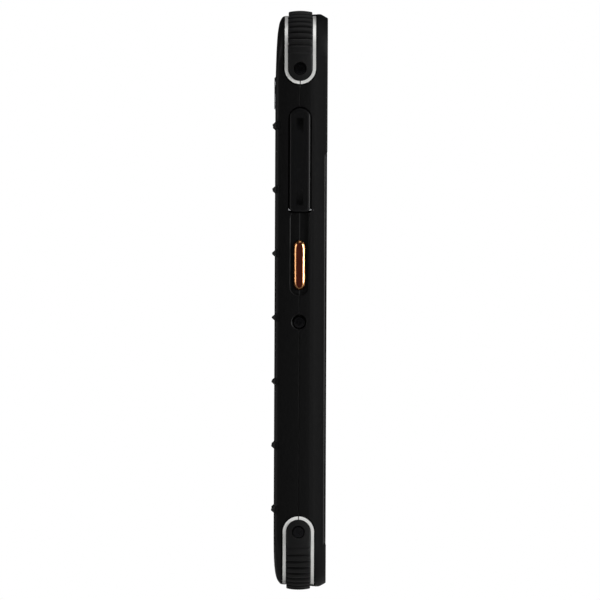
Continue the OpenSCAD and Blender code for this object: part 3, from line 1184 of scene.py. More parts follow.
@dataclass(frozen=True)
class SideKey:
    """A key in the side wall.

    Attributes:
        name: Its node and body.
        side: 1 or -1, for +X or -X.
        width: Its width.
        clearance: Gap between it and its slot.
    """

    name: str
    side: int
    width: float = 3.6
    clearance: float = 0.2

    @property
    def span(self) -> tuple[float, float]:
        """Its low and high end, without its flange."""
        low, high = node_box(self.name)
        return low.z + 0.8, high.z - 0.8

    @property
    def levels(self) -> tuple[float, float]:
        """Its inner and outer face, as distances from the middle."""
        low, high = node_box(self.name)
        return (low.x, high.x) if self.side > 0 else (-high.x, -low.x)

    def slot(self, at: Datum) -> Object:
        """Model the opening that it moves in.

        Args:
            at: Shared levels.

        Returns:
            The cutter.
        """
        half = self.width / 2.0 + self.clearance
        low, high = self.span
        cutter = prism(
            "slot",
            half,
            (low - self.clearance, high + self.clearance),
            (at.inner[0] - 1.0, FAR),
            (half, half),
            Facing.SIDE,
            at.part_y,
            segments=12,
        )
        return mirrored_cutter(cutter, self.side)

    def solid(self, at: Datum, rows: Sequence[tuple[float, float]]) -> Object:
        """Model the key with its flange.

        Args:
            at: Shared levels.
            rows: Depth below the outer face and inset of each outline, from the outside in.

        Returns:
            The key, in its place.
        """
        low, high = self.span
        inner, outer = self.levels
        half = self.width / 2.0
        outlines = [(inner, -0.8), (inner + 0.45, -0.8), (inner + 0.6, -0.65), (inner + 0.6, 0.0)]
        outlines += [(outer - depth, inset) for depth, inset in reversed(rows)]
        sections = [
            Section(level, half - inset, low + inset, high - inset) for level, inset in outlines
        ]
        first = half - outlines[0][1]
        key = loft(self.name, sections, (first, first), Facing.SIDE, at.part_y, segments=14)
        return mirrored_cutter(key, self.side)


def mirrored_cutter(piece: Object, side: int) -> Object:
    """Bring a piece modelled at +X to its side.

    Args:
        piece: The piece; it is used up if it is mirrored.
        side: 1 or -1, for +X or -X.

    Returns:
        The piece at its side.
    """
    if side > 0:
        return piece
    name = piece.name
    twin = mirrored(piece, name, side, 1)
    bpy.data.objects.remove(piece)
    twin.name = name
    return twin


FUNCTION_KEY = SideKey("function_key", -1)
RIGHT_KEYS = tuple(SideKey(f"{name}_key", 1) for name in ("power", "volume_up", "volume_down"))


@dataclass
class Casings:
    """The two halves of the housing.

    Attributes:
        at: Shared levels.
        front_rows: Outlines of the front half, away from the seam: Y, and inset of sides, top and bottom.
        rear_rows: The same for the rear half.
        glass_half: Half the width and length of the glass's recess.
        opening_half: Half the width and length of the display's opening.
        rail_drop: Depth of the side rails behind the front guards.
        rail_span: Ends of the side rails.
        ridge_z: Heights of the ridges.
        side_screw_z: Height of the middle screws.
        channel_half: Half the width of a bumper's channel.
        pocket_half: Half the width of a finger pocket.
        pocket_depth: Depth of a finger pocket.
    """

    at: Datum
    front_rows: tuple[Row, ...] = (
        (-1.2, 0.02, -0.22, -0.12),
        (-2.5, 0.08, -0.45, -0.3),
        (-3.6, 0.2, -0.57, -0.48),
        (-4.8, 0.48, -0.6, -0.6),
        (-5.8, 0.76, -0.6, -0.6),
        (-6.85, 1.04, -0.58, -0.56),
        (-7.9, 1.29, 0.0, -0.1),
        (-8.75, 1.48, 0.47, 0.37),
        (-9.25, 1.75, 0.8, 0.75),
    )
    rear_rows: tuple[Row, ...] = (
        (2.0, 0.03, 0.0, 0.0),
        (3.4, 0.1, 0.0, 0.0),
        (4.6, 0.19, 0.03, 0.0),
        (5.55, 0.29, 0.12, 0.06),
        (6.0, 0.35, 0.45, 0.28),
        (6.4, 0.42, 0.95, 0.7),
        (6.9, 0.53, 1.95, 1.38),
        (7.2, 0.63, 2.95, 1.98),
        (7.47, 0.76, 4.55, 2.8),
        (7.69, 0.9, 6.2, 3.7),
        (7.87, 1.05, 8.6, 4.75),
        (8.05, 1.26, 12.0, 6.4),
        (8.2, 1.52, 16.5, 8.6),
        (8.31, 1.8, 21.0, 11.6),
        (8.35, 2.1, 26.0, 15.0),
    )
    glass_half: tuple[float, float] = (44.15, 88.15)
    opening_half: tuple[float, float] = (39.5, 81.0)
    rail_drop: float = 0.6
    rail_span: tuple[float, float] = (-82.0, 49.0)
    ridge_z: tuple[float, ...] = (-70.45, -48.9, -27.35, -5.8, 15.75, 37.3, 58.85)
    side_screw_z: float = -7.3
    channel_half: float = 5.7
    pocket_half: float = 3.3
    pocket_depth: float = 0.7

    def shell(self, name: str, edge: float, rows: Sequence[Row]) -> Object:
        """Loft one half from its outlines.

        Args:
            name: The half's node.
            edge: Its face at the seam.
            rows: Its other outlines, from the seam outwards.

        Returns:
            The solid half.
        """
        chamfer = math.copysign(0.04, edge)
        seam = ((edge, 0.04, 0.04, 0.04), (edge + chamfer, 0.0, 0.0, 0.0))
        sections = [
            Section(
                -y, self.at.half_w - side, bottom - self.at.half_len, self.at.half_len - top
            )
            for y, side, top, bottom in (*seam, *rows)
        ]
        radius = self.at.corner_r
        return loft(name, sections, (radius, radius), Facing.FRONT, segments=28)

    def seam_cutters(self) -> list[Object]:
        """Model what is cut into both halves across the seam.

        Returns:
            The cutters.
        """
        at = self.at
        channel = combine(at.corner_wrap(self.channel_half), at.channel_floor(), Action.CUT)
        cutters = [on_corners(channel, "channels")]
        side_bore = turned(
            "bore",
            [(at.inner[0] - 2.0, at.passage_radius), (at.corner[0] + 3.0, at.passage_radius)],
            Facing.SIDE,
            (at.part_y, at.screw[1]),
            20,
        )
        end_bore = turned(
            "bore",
            [(at.inner[1] - 2.0, at.passage_radius), (at.corner[1] + 3.0, at.passage_radius)],
            Facing.END,
            (at.part_y, -at.screw[0]),
            20,
        )
        cutters.append(on_corners(joined([side_bore, end_bore], "bores"), "bores"))
        rim = at.half_w - 0.3
        recess = turned(
            "recess",
            [
                (at.inner[0] - 2.0, at.passage_radius),
                (at.half_w - 1.6, at.passage_radius),
                (at.half_w - 1.6, 2.45),
                (rim, 2.45),
                (rim + 0.35, 2.8),
                (at.half_w + 5.0, 2.8),
            ],
            Facing.SIDE,
            (at.part_y, self.side_screw_z),
            40,
        )
        cutters.append(
            joined([recess, mirrored(recess, "recess", -1, 1)], "side_recesses")
        )
        cutters += [CARD_COVER.pocket(), USB_COVER.pocket()]
        cutters.append(
            prism(
                "card_opening", 2.45, (33.6, 60.8), (-FAR, 1.0 - at.inner[0]), (2.0, 2.0),
                Facing.SIDE, at.part_y,
            )
        )
        cutters.append(
            prism(
                "usb_opening", 1.85, (-4.85, 4.85), (-FAR, 1.0 - at.inner[1]), (1.85, 1.85),
                Facing.END, at.part_y,
            )
        )
        cutters.append(
            turned(
                "microphone_hole", [(-at.half_len - 1.0, 0.6), (-at.half_len + 5.0, 0.6)],
                Facing.END, (at.part_y, -16.0), 24,
            )
        )
        cutters += [key.slot(at) for key in (FUNCTION_KEY, *RIGHT_KEYS)]
        cutters.append(self.finger_pocket(-1, (1.4, 30.6)))
        cutters.append(self.finger_pocket(1, (4.3, 20.7)))
        cutters.append(self.finger_pocket(1, (31.3, 61.7)))
        return cutters

    def finger_pocket(self, side: int, span: tuple[float, float]) -> Object:
        """Model the shallow pocket round a key.

        Args:
            side: 1 or -1, for +X or -X.
            span: Its low and high end.

        Returns:
            The cutter.
        """
        at = self.at
        floor = at.half_w - self.pocket_depth
        half = self.pocket_half
        sections = [
            Section(floor, half - 0.25, span[0] + 0.25, span[1] - 0.25),
            Section(floor + 0.12, half - 0.08, span[0] + 0.08, span[1] - 0.08),
            Section(floor + self.pocket_depth - 0.12, half, span[0], span[1]),
            Section(floor + self.pocket_depth + 0.05, half + 0.16, span[0] - 0.16, span[1] + 0.16),
            Section(FAR, half + 0.16, span[0] - 0.16, span[1] + 0.16),
        ]
        radius = half - 0.25
        cutter = loft("finger_pocket", sections, (radius, radius), Facing.SIDE, at.part_y, 14)
        return mirrored_cutter(cutter, side)

    def ridges(self) -> Object:
        """Model the cross ridges of both edges of the back.

        Returns:
            All the ridges as one solid.
        """
        at = self.at
        foot_x, crest_x = (28.0, at.half_w - 0.4), (30.5, at.half_w - 1.4)
        sections = [
            Section(-level, (reach[1] - reach[0]) / 2.0, -half, half)
            for level, reach, half in (
                (at.back_y - 1.5, foot_x, 1.26),
                (at.back_y - 0.3, foot_x, 1.26),
            )
        ]
        ridge = loft(
            "ridge", sections, (0.0, 0.0), Facing.FRONT, centre=(foot_x[0] + foot_x[1]) / 2.0
        )
        activate(ridge)
        bpy.ops.object.mode_set(mode="EDIT")
        top = at.back_y - 0.3
        pick("FACE", lambda f: f.normal.y > 0.9)
        bpy.ops.mesh.extrude_region_move(
            TRANSFORM_OT_translate={"value": (0.0, self.at.ridge_h + 0.3, 0.0)}
        )
        foot_middle, crest_middle = sum(foot_x) / 2.0, sum(crest_x) / 2.0
        bpy.ops.transform.resize(
            value=((crest_x[1] - crest_x[0]) / (foot_x[1] - foot_x[0]), 1.0, 0.2 / 1.26),
            center_override=(foot_middle, top, 0.0),
        )
        bpy.ops.transform.translate(value=(crest_middle - foot_middle, 0.0, 0.0))
        face_outwards()
        bpy.ops.object.mode_set(mode="OBJECT")
        copies = []
        for z in self.ridge_z:
            copy = moved(copy_of(ridge, "ridge"), (0.0, 0.0, z))
            copies += [copy, mirrored(copy, "ridge", -1, 1)]
        bpy.data.objects.remove(ridge)
        return joined(copies, "ridges")

    def front(self, cutters: Sequence[Object]) -> Object:
        """Model the front half.

        Args:
            cutters: What is cut across the seam.

        Returns:
            The front half.
        """
        at = self.at
        casing = self.shell("front_casing_shell", at.seam[0], self.front_rows)
        frame_y = node_box("mid_frame")[0].y
        gasket_y = node_box("display_gasket")[1].y
        radius = at.corner_r - at.wall
        cavity = prism(
            "cavity", at.inner[0], (-at.inner[1], at.inner[1]), (-FAR, -frame_y), (radius, radius),
            Facing.FRONT, segments=16,
        )
        combine(casing, cavity, Action.CUT)
        width, length = self.glass_half
        rim = 0.15
        recess = loft(
            "recess",
            [
                Section(-gasket_y, width, -length, length),
                Section(-at.front_y - rim, width, -length, length),
                Section(-at.front_y + 0.05, width + rim + 0.05, -length - rim - 0.05, length + rim + 0.05),
                Section(FAR, width + rim + 0.05, -length - rim - 0.05, length + rim + 0.05),
            ],
            (8.15, 8.15),
            Facing.FRONT,
            segments=16,
        )
        combine(casing, recess, Action.CUT)
        opening = prism(
            "opening", self.opening_half[0], (-self.opening_half[1], self.opening_half[1]),
            (-FAR, FAR), (2.0, 2.0), Facing.FRONT,
        )
        combine(casing, opening, Action.CUT)
        ear_low, ear_high = node_box("earpiece_mesh")
        ear = prism(
            "ear", ear_high.x + 0.1, (ear_low.z - 0.3, ear_high.z + 0.3), (-FAR, FAR), (0.0, 0.0),
            Facing.FRONT,
        )
        combine(casing, ear, Action.CUT)
        lens_low, lens_high = node_box("front_camera")
        lens = turned(
            "lens", [(-FAR, 2.4), (FAR, 2.4)], Facing.FRONT,
            ((lens_low.x + lens_high.x) / 2.0, (lens_low.z + lens_high.z) / 2.0), 32,
        )
        combine(casing, lens, Action.CUT)
        for side in (-1, 1):
            combine(casing, self.rail_step(side), Action.CUT)
        for cutter in cutters:
            combine(casing, cutter, Action.CUT, keep=True)
        return casing

    def rail_step(self, side: int) -> Object:
        """Model what is taken off a side rail, ramped at both ends.

        Args:
            side: 1 or -1, for +X or -X.

        Returns:
            The cutter.
        """
        drop = self.at.front_y + self.rail_drop
        low, high = self.rail_span
        edge = self.at.half_w - 1.46
        sections = [
            Section(-drop - 0.35, 8.0 - (edge - 44.0), low, high),
            Section(-drop, 8.0 - (edge - 44.0) + 0.3, low, high),
            Section(-drop, 8.0, low, high),
            Section(-drop + 0.75, 8.0, low - 1.1, high + 1.1),
        ]
        return loft("rail_step", sections, (0.0, 0.0), Facing.FRONT, centre=side * 52.0)

    def rear(self, cutters: Sequence[Object]) -> Object:
        """Model the rear half.

        Args:
            cutters: What is cut across the seam.

        Returns:
            The rear half.
        """
        at = self.at
        casing = self.shell("rear_casing_shell", at.seam[1], self.rear_rows)
        combine(casing, self.ridges(), Action.ADD)
        ring_low, ring_high = node_box("camera_ring")
        radius = at.corner_r - at.wall
        cavity = prism(
            "cavity", at.inner[0], (-at.inner[1], at.inner[1]), (-ring_low.y, FAR), (radius, radius),
            Facing.FRONT, segments=16,
        )
        combine(casing, cavity, Action.CUT)
        flash_low, flash_high = node_box("flash_window")
        for low, high, hole in ((ring_low, ring_high, 5.6), (flash_low, flash_high, 2.3)):
            middle = (low.z + high.z) / 2.0
            rim = at.back_y - 0.15
            cutter = turned(
                "hole",
                [(0.0, hole), (-rim, hole), (-rim - 0.2, hole + 0.2), (-FAR, hole + 0.2)],
                Facing.FRONT,
                (0.0, middle),
                48,
            )
            combine(casing, cutter, Action.CUT)
        combine(casing, self.speaker_slots(), Action.CUT)
        for cutter in cutters:
            combine(casing, cutter, Action.CUT)
        return casing

    def speaker_slots(self) -> Object:
        """Model the five slots over the loudspeaker, with chamfered rims.

        Returns:
            The cutter.
        """
        low, high = node_box("speaker_mesh")
        middle_x, middle_z = (low.x + high.x) / 2.0, (low.z + high.z) / 2.0
        rim = self.at.back_y - 0.35
        slots = []
        for step in range(-2, 3):
            z = middle_z + 3.0 * step
            sections = [
                Section(0.0, 7.0, z - 0.6, z + 0.6),
                Section(-rim, 7.0, z - 0.6, z + 0.6),
                Section(-rim - 0.4, 7.3, z - 0.9, z + 0.9),
                Section(-FAR, 7.3, z - 0.9, z + 0.9),
            ]
            slots.append(loft("slot", sections, (0.6, 0.6), Facing.FRONT, centre=middle_x))
        return joined(slots, "speaker_slots")

    def build(self) -> None:
        """Model and dress both halves."""
        cutters = self.seam_cutters()
        front = self.front(cutters)
        rear = self.rear(cutters)
        skin = CASING.build()
        hand_over(front, [skin], "device", ["front_casing"])
        hand_over(rear, [skin], "device", ["rear_casing"])


@dataclass
class CornerGuards:
    """The rubber bumpers, their bright trims and their screws.

    Attributes:
        at: Shared levels.
        half: Half a bumper's width.
        crown: How much lower a bumper is at its edges than in its middle.
        ring_step: Angle between the band's cross-sections, in degrees.
        lean: Angle by which the legs lean in, in degrees.
        groove_pitch: Angle from groove to groove, in degrees.
        groove_count: Number of grip grooves.
        groove_depth: Depth of the deepest groove.
        trim_half: Half the outer and inner width of the trim.
        head_r: Radius of a screw's head.
        shank_r: Radius of a screw's shank.
    """

    at: Datum
    half: float = 4.0
    crown: float = 0.45
    ring_step: float = 0.9
    lean: float = 6.3
    groove_pitch: float = 9.0
    groove_count: int = 10
    groove_depth: float = 1.05
    trim_half: tuple[float, float] = (5.25, 4.2)
    head_r: float = 1.95
    shank_r: float = 0.98

    def ribbed_band(self) -> Object:
        """Spin the bumper's crowned profile round the corner and press the grooves into it.

        Returns:
            The band, as a solid that is wider than the bumper's rounded ends need.
        """
        at = self.at
        crown_r = (self.half**2 + self.crown**2) / (2.0 * self.crown)
        bpy.ops.object.select_all(action="DESELECT")
        bpy.ops.mesh.primitive_circle_add(
            vertices=120,
            radius=crown_r,
            fill_type="NGON",
            location=(at.corner[0] - crown_r, at.part_y, at.arc[1]),
        )
        band = apply_place(bpy.context.object)
        band.name = "bumper"
        bpy.ops.object.mode_set(mode="EDIT")
        for place, normal in (
            ((0.0, at.part_y + self.half, 0.0), (0.0, 1.0, 0.0)),
            ((0.0, at.part_y - self.half, 0.0), (0.0, -1.0, 0.0)),
            ((at.corner[0] - 4.2, 0.0, 0.0), (-1.0, 0.0, 0.0)),
        ):
            bpy.ops.mesh.select_all(action="SELECT")
            bpy.ops.mesh.bisect(plane_co=place, plane_no=normal, clear_outer=True)
        shoulder = at.corner[0] - self.crown
        pick(
            "VERT",
            lambda v: abs(abs(v.co.y - at.part_y) - self.half) < 1e-3 and v.co.x > shoulder - 0.2,
        )
        bpy.ops.mesh.bevel(offset=0.35, segments=3, affect="VERTICES")
        bpy.ops.mesh.select_all(action="SELECT")
        bpy.ops.mesh.delete(type="ONLY_FACE")
        bpy.ops.mesh.select_all(action="SELECT")
        centre = (at.arc[0], at.part_y, at.arc[1])
        bpy.ops.transform.rotate(
            value=-math.radians(self.lean), orient_axis="Y", center_override=centre
        )
        turn = 90.0 + 2.0 * self.lean
        bpy.ops.mesh.spin(
            steps=round(turn / self.ring_step),
            angle=math.radians(turn),
            center=centre,
            axis=(0.0, 1.0, 0.0),
        )
        for angle, way in ((-self.lean, -1.0), (90.0 + self.lean, 1.0)):
            pick("EDGE", lambda e, angle=angle: all(self.on_ring(v, angle) for v in e.verts))
            along = math.radians(angle)
            step = way * (at.screw_inset - at.bumper_r + 2.0 * self.half)
            bpy.ops.mesh.extrude_region_move(
                TRANSFORM_OT_translate={
                    "value": (-math.sin(along) * step, 0.0, math.cos(along) * step)
                }
            )
            bpy.ops.mesh.edge_face_add()
        self.press_grooves()
        face_outwards()
        bpy.ops.object.mode_set(mode="OBJECT")
        return band

    def on_ring(self, vertex: bmesh.types.BMVert, angle: float) -> bool:
        """Say whether a point of the band lies at an angle round the corner's arc.

        Args:
            vertex: The point.
            angle: The angle, in degrees.

        Returns:
            Whether it does.
        """
        across = vertex.co.x - self.at.arc[0]
        up = vertex.co.z - self.at.arc[1]
        return abs(math.degrees(math.atan2(up, across)) - angle) < 0.1 * self.ring_step

    def press_grooves(self) -> None:
        """Press the grip grooves into the band being edited, shallower towards its ends."""
        shape = ((0.0, 1.0), (1.0, 0.72), (2.0, 0.18), (3.0, 0.03))
        surface = self.at.bumper_r - self.crown - 0.6
        for number in range(self.groove_count):
            middle = 45.0 + self.groove_pitch * (number - (self.groove_count - 1) / 2.0)
            share = abs(middle - 45.0) / 40.5
            depth = self.groove_depth * (1.0 - 0.25 * share**2 - 0.4 * share**4)
            for rings, part in shape:
                for way in (-1.0, 1.0) if rings else (1.0,):
                    angle = middle + way * rings * self.ring_step
                    pick(
                        "VERT",
                        lambda v, angle=angle: self.on_ring(v, angle)
                        and math.hypot(v.co.x - self.at.arc[0], v.co.z - self.at.arc[1]) > surface,
                    )
                    turn = math.radians(angle)
                    bpy.ops.transform.translate(
                        value=(-math.cos(turn) * depth * part, 0.0, -math.sin(turn) * depth * part)
                    )

    def bumper(self) -> Object:
        """Model the +X +Z bumper.

        Returns:
            The bumper.
        """
        at = self.at
        bumper = self.ribbed_band()
        combine(bumper, at.corner_wrap(self.half + 0.01), Action.TRIM)
        combine(bumper, at.channel_floor(), Action.CUT)
        floor = (at.channel[0] - 1.0, at.channel[1] - 1.0)
        for axis, facing, centre in (
            (0, Facing.SIDE, (at.part_y, at.screw[1])),
            (1, Facing.END, (at.part_y, -at.screw[0])),
        ):
            seat = floor[axis] + 2.0
            surface = at.corner[axis] - 0.1
            rings = [
                (floor[axis], at.passage_radius),
                (seat, at.passage_radius),
                (seat, 2.15),
                (surface - 0.25, 2.15),
                (surface + 0.1, 2.5),
                (surface + 3.0, 2.5),
            ]
            combine(bumper, turned("recess", rings, facing, centre, 40), Action.CUT)
        return bumper

    def trim(self, way: int) -> Object:
        """Model half of the bright trim round the +X +Z bumper.

        Args:
            way: -1 for the front half, 1 for the rear half.

        Returns:
            The trim.
        """
        at = self.at
        outer, inner = self.trim_half
        trim = combine(at.corner_wrap(outer), at.corner_wrap(inner), Action.CUT)
        combine(trim, at.channel_floor(), Action.CUT)
        radius = at.corner_r - 0.1
        skin = prism(
            "skin",
            at.half_w - 0.08,
            (0.05 - at.half_len, at.half_len - 0.05),
            (-FAR, FAR),
            (radius, radius),
            Facing.FRONT,
            segments=28,
        )
        combine(trim, skin, Action.TRIM)
        edge = at.seam[0] if way < 0 else at.seam[1]
        span = sorted((-edge, -way * FAR))
        side = prism("side", FAR, (-FAR, FAR), (span[0], span[1]), (0.0, 0.0), Facing.FRONT)
        combine(trim, side, Action.TRIM)
        return soften(trim, 0.16)

    def screw(self, length: float, head: float) -> Object:
        """Model a screw along Z whose head rests at the origin.

        Args:
            length: Length of its shank.
            head: Height of its head.

        Returns:
            The screw.
        """
        rings = [
            (-length, self.shank_r - 0.25),
            (-length + 0.4, self.shank_r),
            (-0.01, self.shank_r),
            (0.0, self.head_r - 0.05),
            (0.06, self.head_r),
            (head - 0.28, self.head_r),
            (head - 0.1, self.head_r - 0.1),
            (head, self.head_r - 0.32),
        ]
        screw = turned("screw", rings, Facing.END, segments=40)
        drive = turned("drive", [(head - 0.7, 1.02), (head + 1.0, 1.02)], Facing.END, segments=24)
        activate(drive)
        bpy.ops.object.mode_set(mode="EDIT")
        pick("VERT", lambda v: round(math.degrees(math.atan2(v.co.y, v.co.x)) / 15.0) % 4 == 2)
        bpy.ops.transform.resize(value=(0.72, 0.72, 1.0), center_override=(0.0, 0.0, 0.0))
        pick("VERT", lambda v: round(math.degrees(math.atan2(v.co.y, v.co.x)) / 15.0) % 4 in (1, 3))
        bpy.ops.transform.resize(value=(0.82, 0.82, 1.0), center_override=(0.0, 0.0, 0.0))
        bpy.ops.object.mode_set(mode="OBJECT")
        return combine(screw, drive, Action.CUT)

    def bumper_screws(self) -> Object:
        """Model the screws in both legs of all four bumpers.

        Returns:
            The eight screws as one object.
        """
        at = self.at
        side = self.screw(6.4, 0.6)
        end = copy_of(side, "screw")
        side.rotation_euler = (0.0, math.radians(90.0), 0.0)
        moved(side, (at.channel[0] + 1.0, at.part_y, at.screw[1]))
        moved(end, (at.screw[0], at.part_y, at.channel[1] + 1.0))
        return on_corners(joined([side, end], "screws"), "bumper_screw_set")

    def side_screws(self, middle_z: float) -> Object:
        """Model the screw in the middle of each side.

        Args:
            middle_z: Its height.

        Returns:
            Both screws.
        """
        screw = self.screw(5.4, 0.75)
        screw.rotation_euler = (0.0, math.radians(90.0), 0.0)
        moved(screw, (self.at.half_w - 1.3, self.at.part_y, middle_z))
        return joined([screw, mirrored(screw, "screw", -1, 1)], "side_screw_pair")

    def build(self) -> None:
        """Model and dress the bumpers, their trims and the outer screws."""
        rubber, silver, steel = BUMPER.build(), TRIM.build(), SCREW.build()
        masters = {
            "bumper": (self.bumper(), "bumper_rubber", rubber),
            "trim_front": (self.trim(-1), "bright_trim", silver),
            "trim_rear": (self.trim(1), "bright_trim", silver),
        }
        for kind, (master, slot, material) in masters.items():
            for end_name, end in (("top", 1), ("bottom", -1)):
                for side_name, side in (("left", -1), ("right", 1)):
                    node = f"{kind}_{end_name}_{side_name}"
                    copy = mirrored(master, f"{node}_part", side, end)
                    hand_over(copy, [material], "device", [node])
            bpy.data.objects.remove(master)
        hand_over(self.bumper_screws(), [steel], "device", ["bumper_screws"])
        low, high = node_box("side_screws")
        screws = self.side_screws((low.z + high.z) / 2.0)
        hand_over(screws, [steel], "device", ["side_screws"])


@dataclass
class Covers:
    """The hinged covers of the card slot and of the USB socket.

    Attributes:
        flaps: The covers.
    """

    flaps: tuple[Flap, ...] = (CARD_COVER, USB_COVER)

    def build(self) -> None:
        """Model and dress the covers."""
        for flap in self.flaps:
            cover = flap.build()
            cover.name = f"{flap.name}_lid"
            hand_over(cover, [COVER.build()], flap.name, [flap.name])


@dataclass
class Keys:
    """The copper function key on the left, and the black keys on the right.

    Attributes:
        at: Shared levels.
        function_rows: Depth and inset of the function key's outlines, from the outside in.
        black_rows: The same for a black key.
    """

    at: Datum
    function_rows: tuple[tuple[float, float], ...] = (
        (0.1, 1.6),
        (0.1, 0.7),
        (0.0, 0.64),
        (0.0, 0.58),
        (0.46, 0.05),
        (0.54, 0.0),
    )
    black_rows: tuple[tuple[float, float], ...] = (
        (0.0, 1.3),
        (0.03, 0.8),
        (0.1, 0.45),
        (0.24, 0.18),
        (0.45, 0.0),
    )

    def function_key(self) -> Object:
        """Model the function key and number the faces of its cut rim 1.

        Returns:
            The key.
        """
        key = FUNCTION_KEY.solid(self.at, self.function_rows)
        outer = FUNCTION_KEY.levels[1]
        for _ in range(2):
            key.data.materials.append(None)
        activate(key)
        bpy.ops.object.mode_set(mode="EDIT")
        pick("FACE", lambda f: outer - 0.5 < -f.calc_center_median().x < outer - 0.02 and f.normal.x > -0.97)
        key.active_material_index = 1
        bpy.ops.object.material_slot_assign()
        bpy.ops.object.mode_set(mode="OBJECT")
        return key

    def build(self) -> None:
        """Model and dress the keys."""
        key = self.function_key()
        key.name = "function_key_cap"
        finishes = [COPPER.build(), COPPER_CUT.build()]
        hand_over(key, finishes, "function_key", ["function_key"])
        for black in RIGHT_KEYS:
            cap = black.solid(self.at, self.black_rows)
            cap.name = f"{black.name}_cap"
            hand_over(cap, [KEY_BLACK.build()], black.name, [black.name])


@dataclass
class DisplayUnit:
    """The cover glass over the display.

    Attributes:
        radius: Radius of the glass's corners.
        bevel: Width of its polished edge.
    """

    radius: float = 8.0
    bevel: float = 0.3

    def build(self) -> None:
        """Model and dress the glass."""
        low, high = node_box("display_glass")
        sections = [
            Section(-y, high.x - inset, low.z + inset, high.z - inset)
            for y, inset in (
                (high.y, 0.0),
                (low.y + self.bevel, 0.0),
                (low.y + 0.09, 0.09),
                (low.y, self.bevel),
            )
        ]
        glass = loft("cover_glass", sections, (self.radius,) * 2, Facing.FRONT, segments=16)
        ear_low, ear_high = node_box("earpiece_mesh")
        middle = (ear_low.z + ear_high.z) / 2.0
        slot = loft(
            "earpiece_slot",
            [
                Section(-high.y - 1.0, 6.0, middle - 0.7, middle + 0.7),
                Section(-low.y - 0.2, 6.0, middle - 0.7, middle + 0.7),
                Section(-low.y + 0.05, 6.25, middle - 0.95, middle + 0.95),
            ],
            (0.7, 0.7),
            Facing.FRONT,
        )
        combine(glass, slot, Action.CUT)
        hand_over(glass, [GlassFinish().build()], "device", ["display_glass"])


@dataclass
class RearCamera:
    """What shows of the camera and its light on the back.

    Attributes:
        hole: Radius of the ring's bore.
    """

    hole: float = 4.2

    def build(self) -> None:
        """Model and dress the ring, the window and the flash lens."""
        low, high = node_box("camera_ring")
        middle = (low.z + high.z) / 2.0
        outer, back = high.x, high.y
        ring = turned(
            "camera_bezel",
            [
                (-low.y, outer),
                (-back + 0.35, outer),
                (-back + 0.1, outer - 0.12),
                (-back, outer - 0.35),
            ],
            Facing.FRONT,
            (0.0, middle),
            64,
        )
        bore = turned(
            "bore",
            [
                (-low.y + 1.0, self.hole),
                (-back + 0.45, self.hole),
                (-back - 0.05, self.hole + 0.5),
                (-back - 1.0, self.hole + 0.5),
            ],
            Facing.FRONT,
            (0.0, middle),
            64,
        )
        combine(ring, bore, Action.CUT)
        hand_over(ring, [RING.build()], "device", ["camera_ring"])
        low, high = node_box("camera_window")
        window = turned(
            "camera_glass",
            [
                (-low.y, high.x),
                (-high.y + 0.15, high.x),
                (-high.y + 0.05, high.x - 0.06),
                (-high.y, high.x - 0.18),
            ],
            Facing.FRONT,
            (0.0, middle),
            64,
        )
        lens = LensFinish("coated_lens_glass", (0.0, middle))
        hand_over(window, [lens.build()], "device", ["camera_window"])
        low, high = node_box("flash_window")
        radii = [high.x, high.x, 2.05, 1.75, 1.72, 1.3, 1.27, 0.8, 0.77, 0.3]
        levels = [-low.y, -high.y + 0.1, -high.y, -high.y + 0.16] + [-high.y, -high.y + 0.16] * 3
        flash = turned(
            "flash_lens_cap",
            list(zip(levels, radii)),
            Facing.FRONT,
            (0.0, (low.z + high.z) / 2.0),
            48,
        )
        hand_over(flash, [FLASH.build()], "device", ["flash_window"])


@dataclass
class InnerParts:
    """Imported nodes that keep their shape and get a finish.

    Attributes:
        finishes: The finish of each node.
    """

    finishes: dict[str, Finish] = field(
        default_factory=lambda: {
            "casing_seal": SEAL,
            "mid_frame": MAGNESIUM,
            "display_panel": MODULE,
            "display_gasket": SEAL,
            "main_board": BOARD,
            "sub_board": BOARD,
            "processor_shield": SHIELD,
            "modem_shield": SHIELD,
            "card_socket": SHIELD,
            "sim_card": CARD,
            "memory_card": MEMORY,
            "battery_pack": FOIL,
            "battery_flex": FLEX,
            "gnss_antenna": CERAMIC,
            "cellular_antenna": FLEX,
            "wifi_antenna": FLEX,
            "earpiece": MODULE,
            "earpiece_mesh": MESH,
            "front_camera": MODULE,
            "rear_camera": MODULE,
            "loudspeaker": MODULE,
            "speaker_mesh": MESH,
            "vibration_motor": SHIELD,
            "microphone": SHIELD,
            "usb_socket": SHIELD,
            "usb_cover_seal": SEAL,
            "usb_cover_pin": PIN,
            "card_cover_seal": SEAL,
            "card_cover_pin": PIN,
            "function_key_seal": SEAL,
            "function_key_switch": SHIELD,
            "right_key_seals": SEAL,
            "right_key_switches": SHIELD,
            "board_screws": SCREW,
        }
    )

    def build(self) -> None:
        """Dress the nodes."""
        for node, finish in self.finishes.items():
            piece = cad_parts[node]
            piece.data.materials.clear()
            piece.data.materials.append(finish.build())
            LOG.info("%s: %s", node, finish.name)


# ---- studio ----


@dataclass(frozen=True)
class Lamp:
    """A soft rectangular lamp aimed at the object.

    Attributes:
        name: Its name.
        place: Where it hangs, in metres.
        size: Its width and height, in metres.
        power: Its power, in watts.
    """

    name: str
    place: tuple[float, float, float]
    size: tuple[float, float]
    power: float

    def build(self) -> None:
        """Hang the lamp."""
        data = bpy.data.lights.new(self.name, "AREA")
        data.shape = "RECTANGLE"
        data.size, data.size_y = self.size
        data.energy = self.power
        lamp = bpy.data.objects.new(self.name, data)
        lamp.visible_camera = False
        lamp.location = self.place
        lamp.rotation_euler = (-Vector(self.place)).to_track_quat("-Z", "Y").to_euler()
        bpy.context.scene.collection.objects.link(lamp)


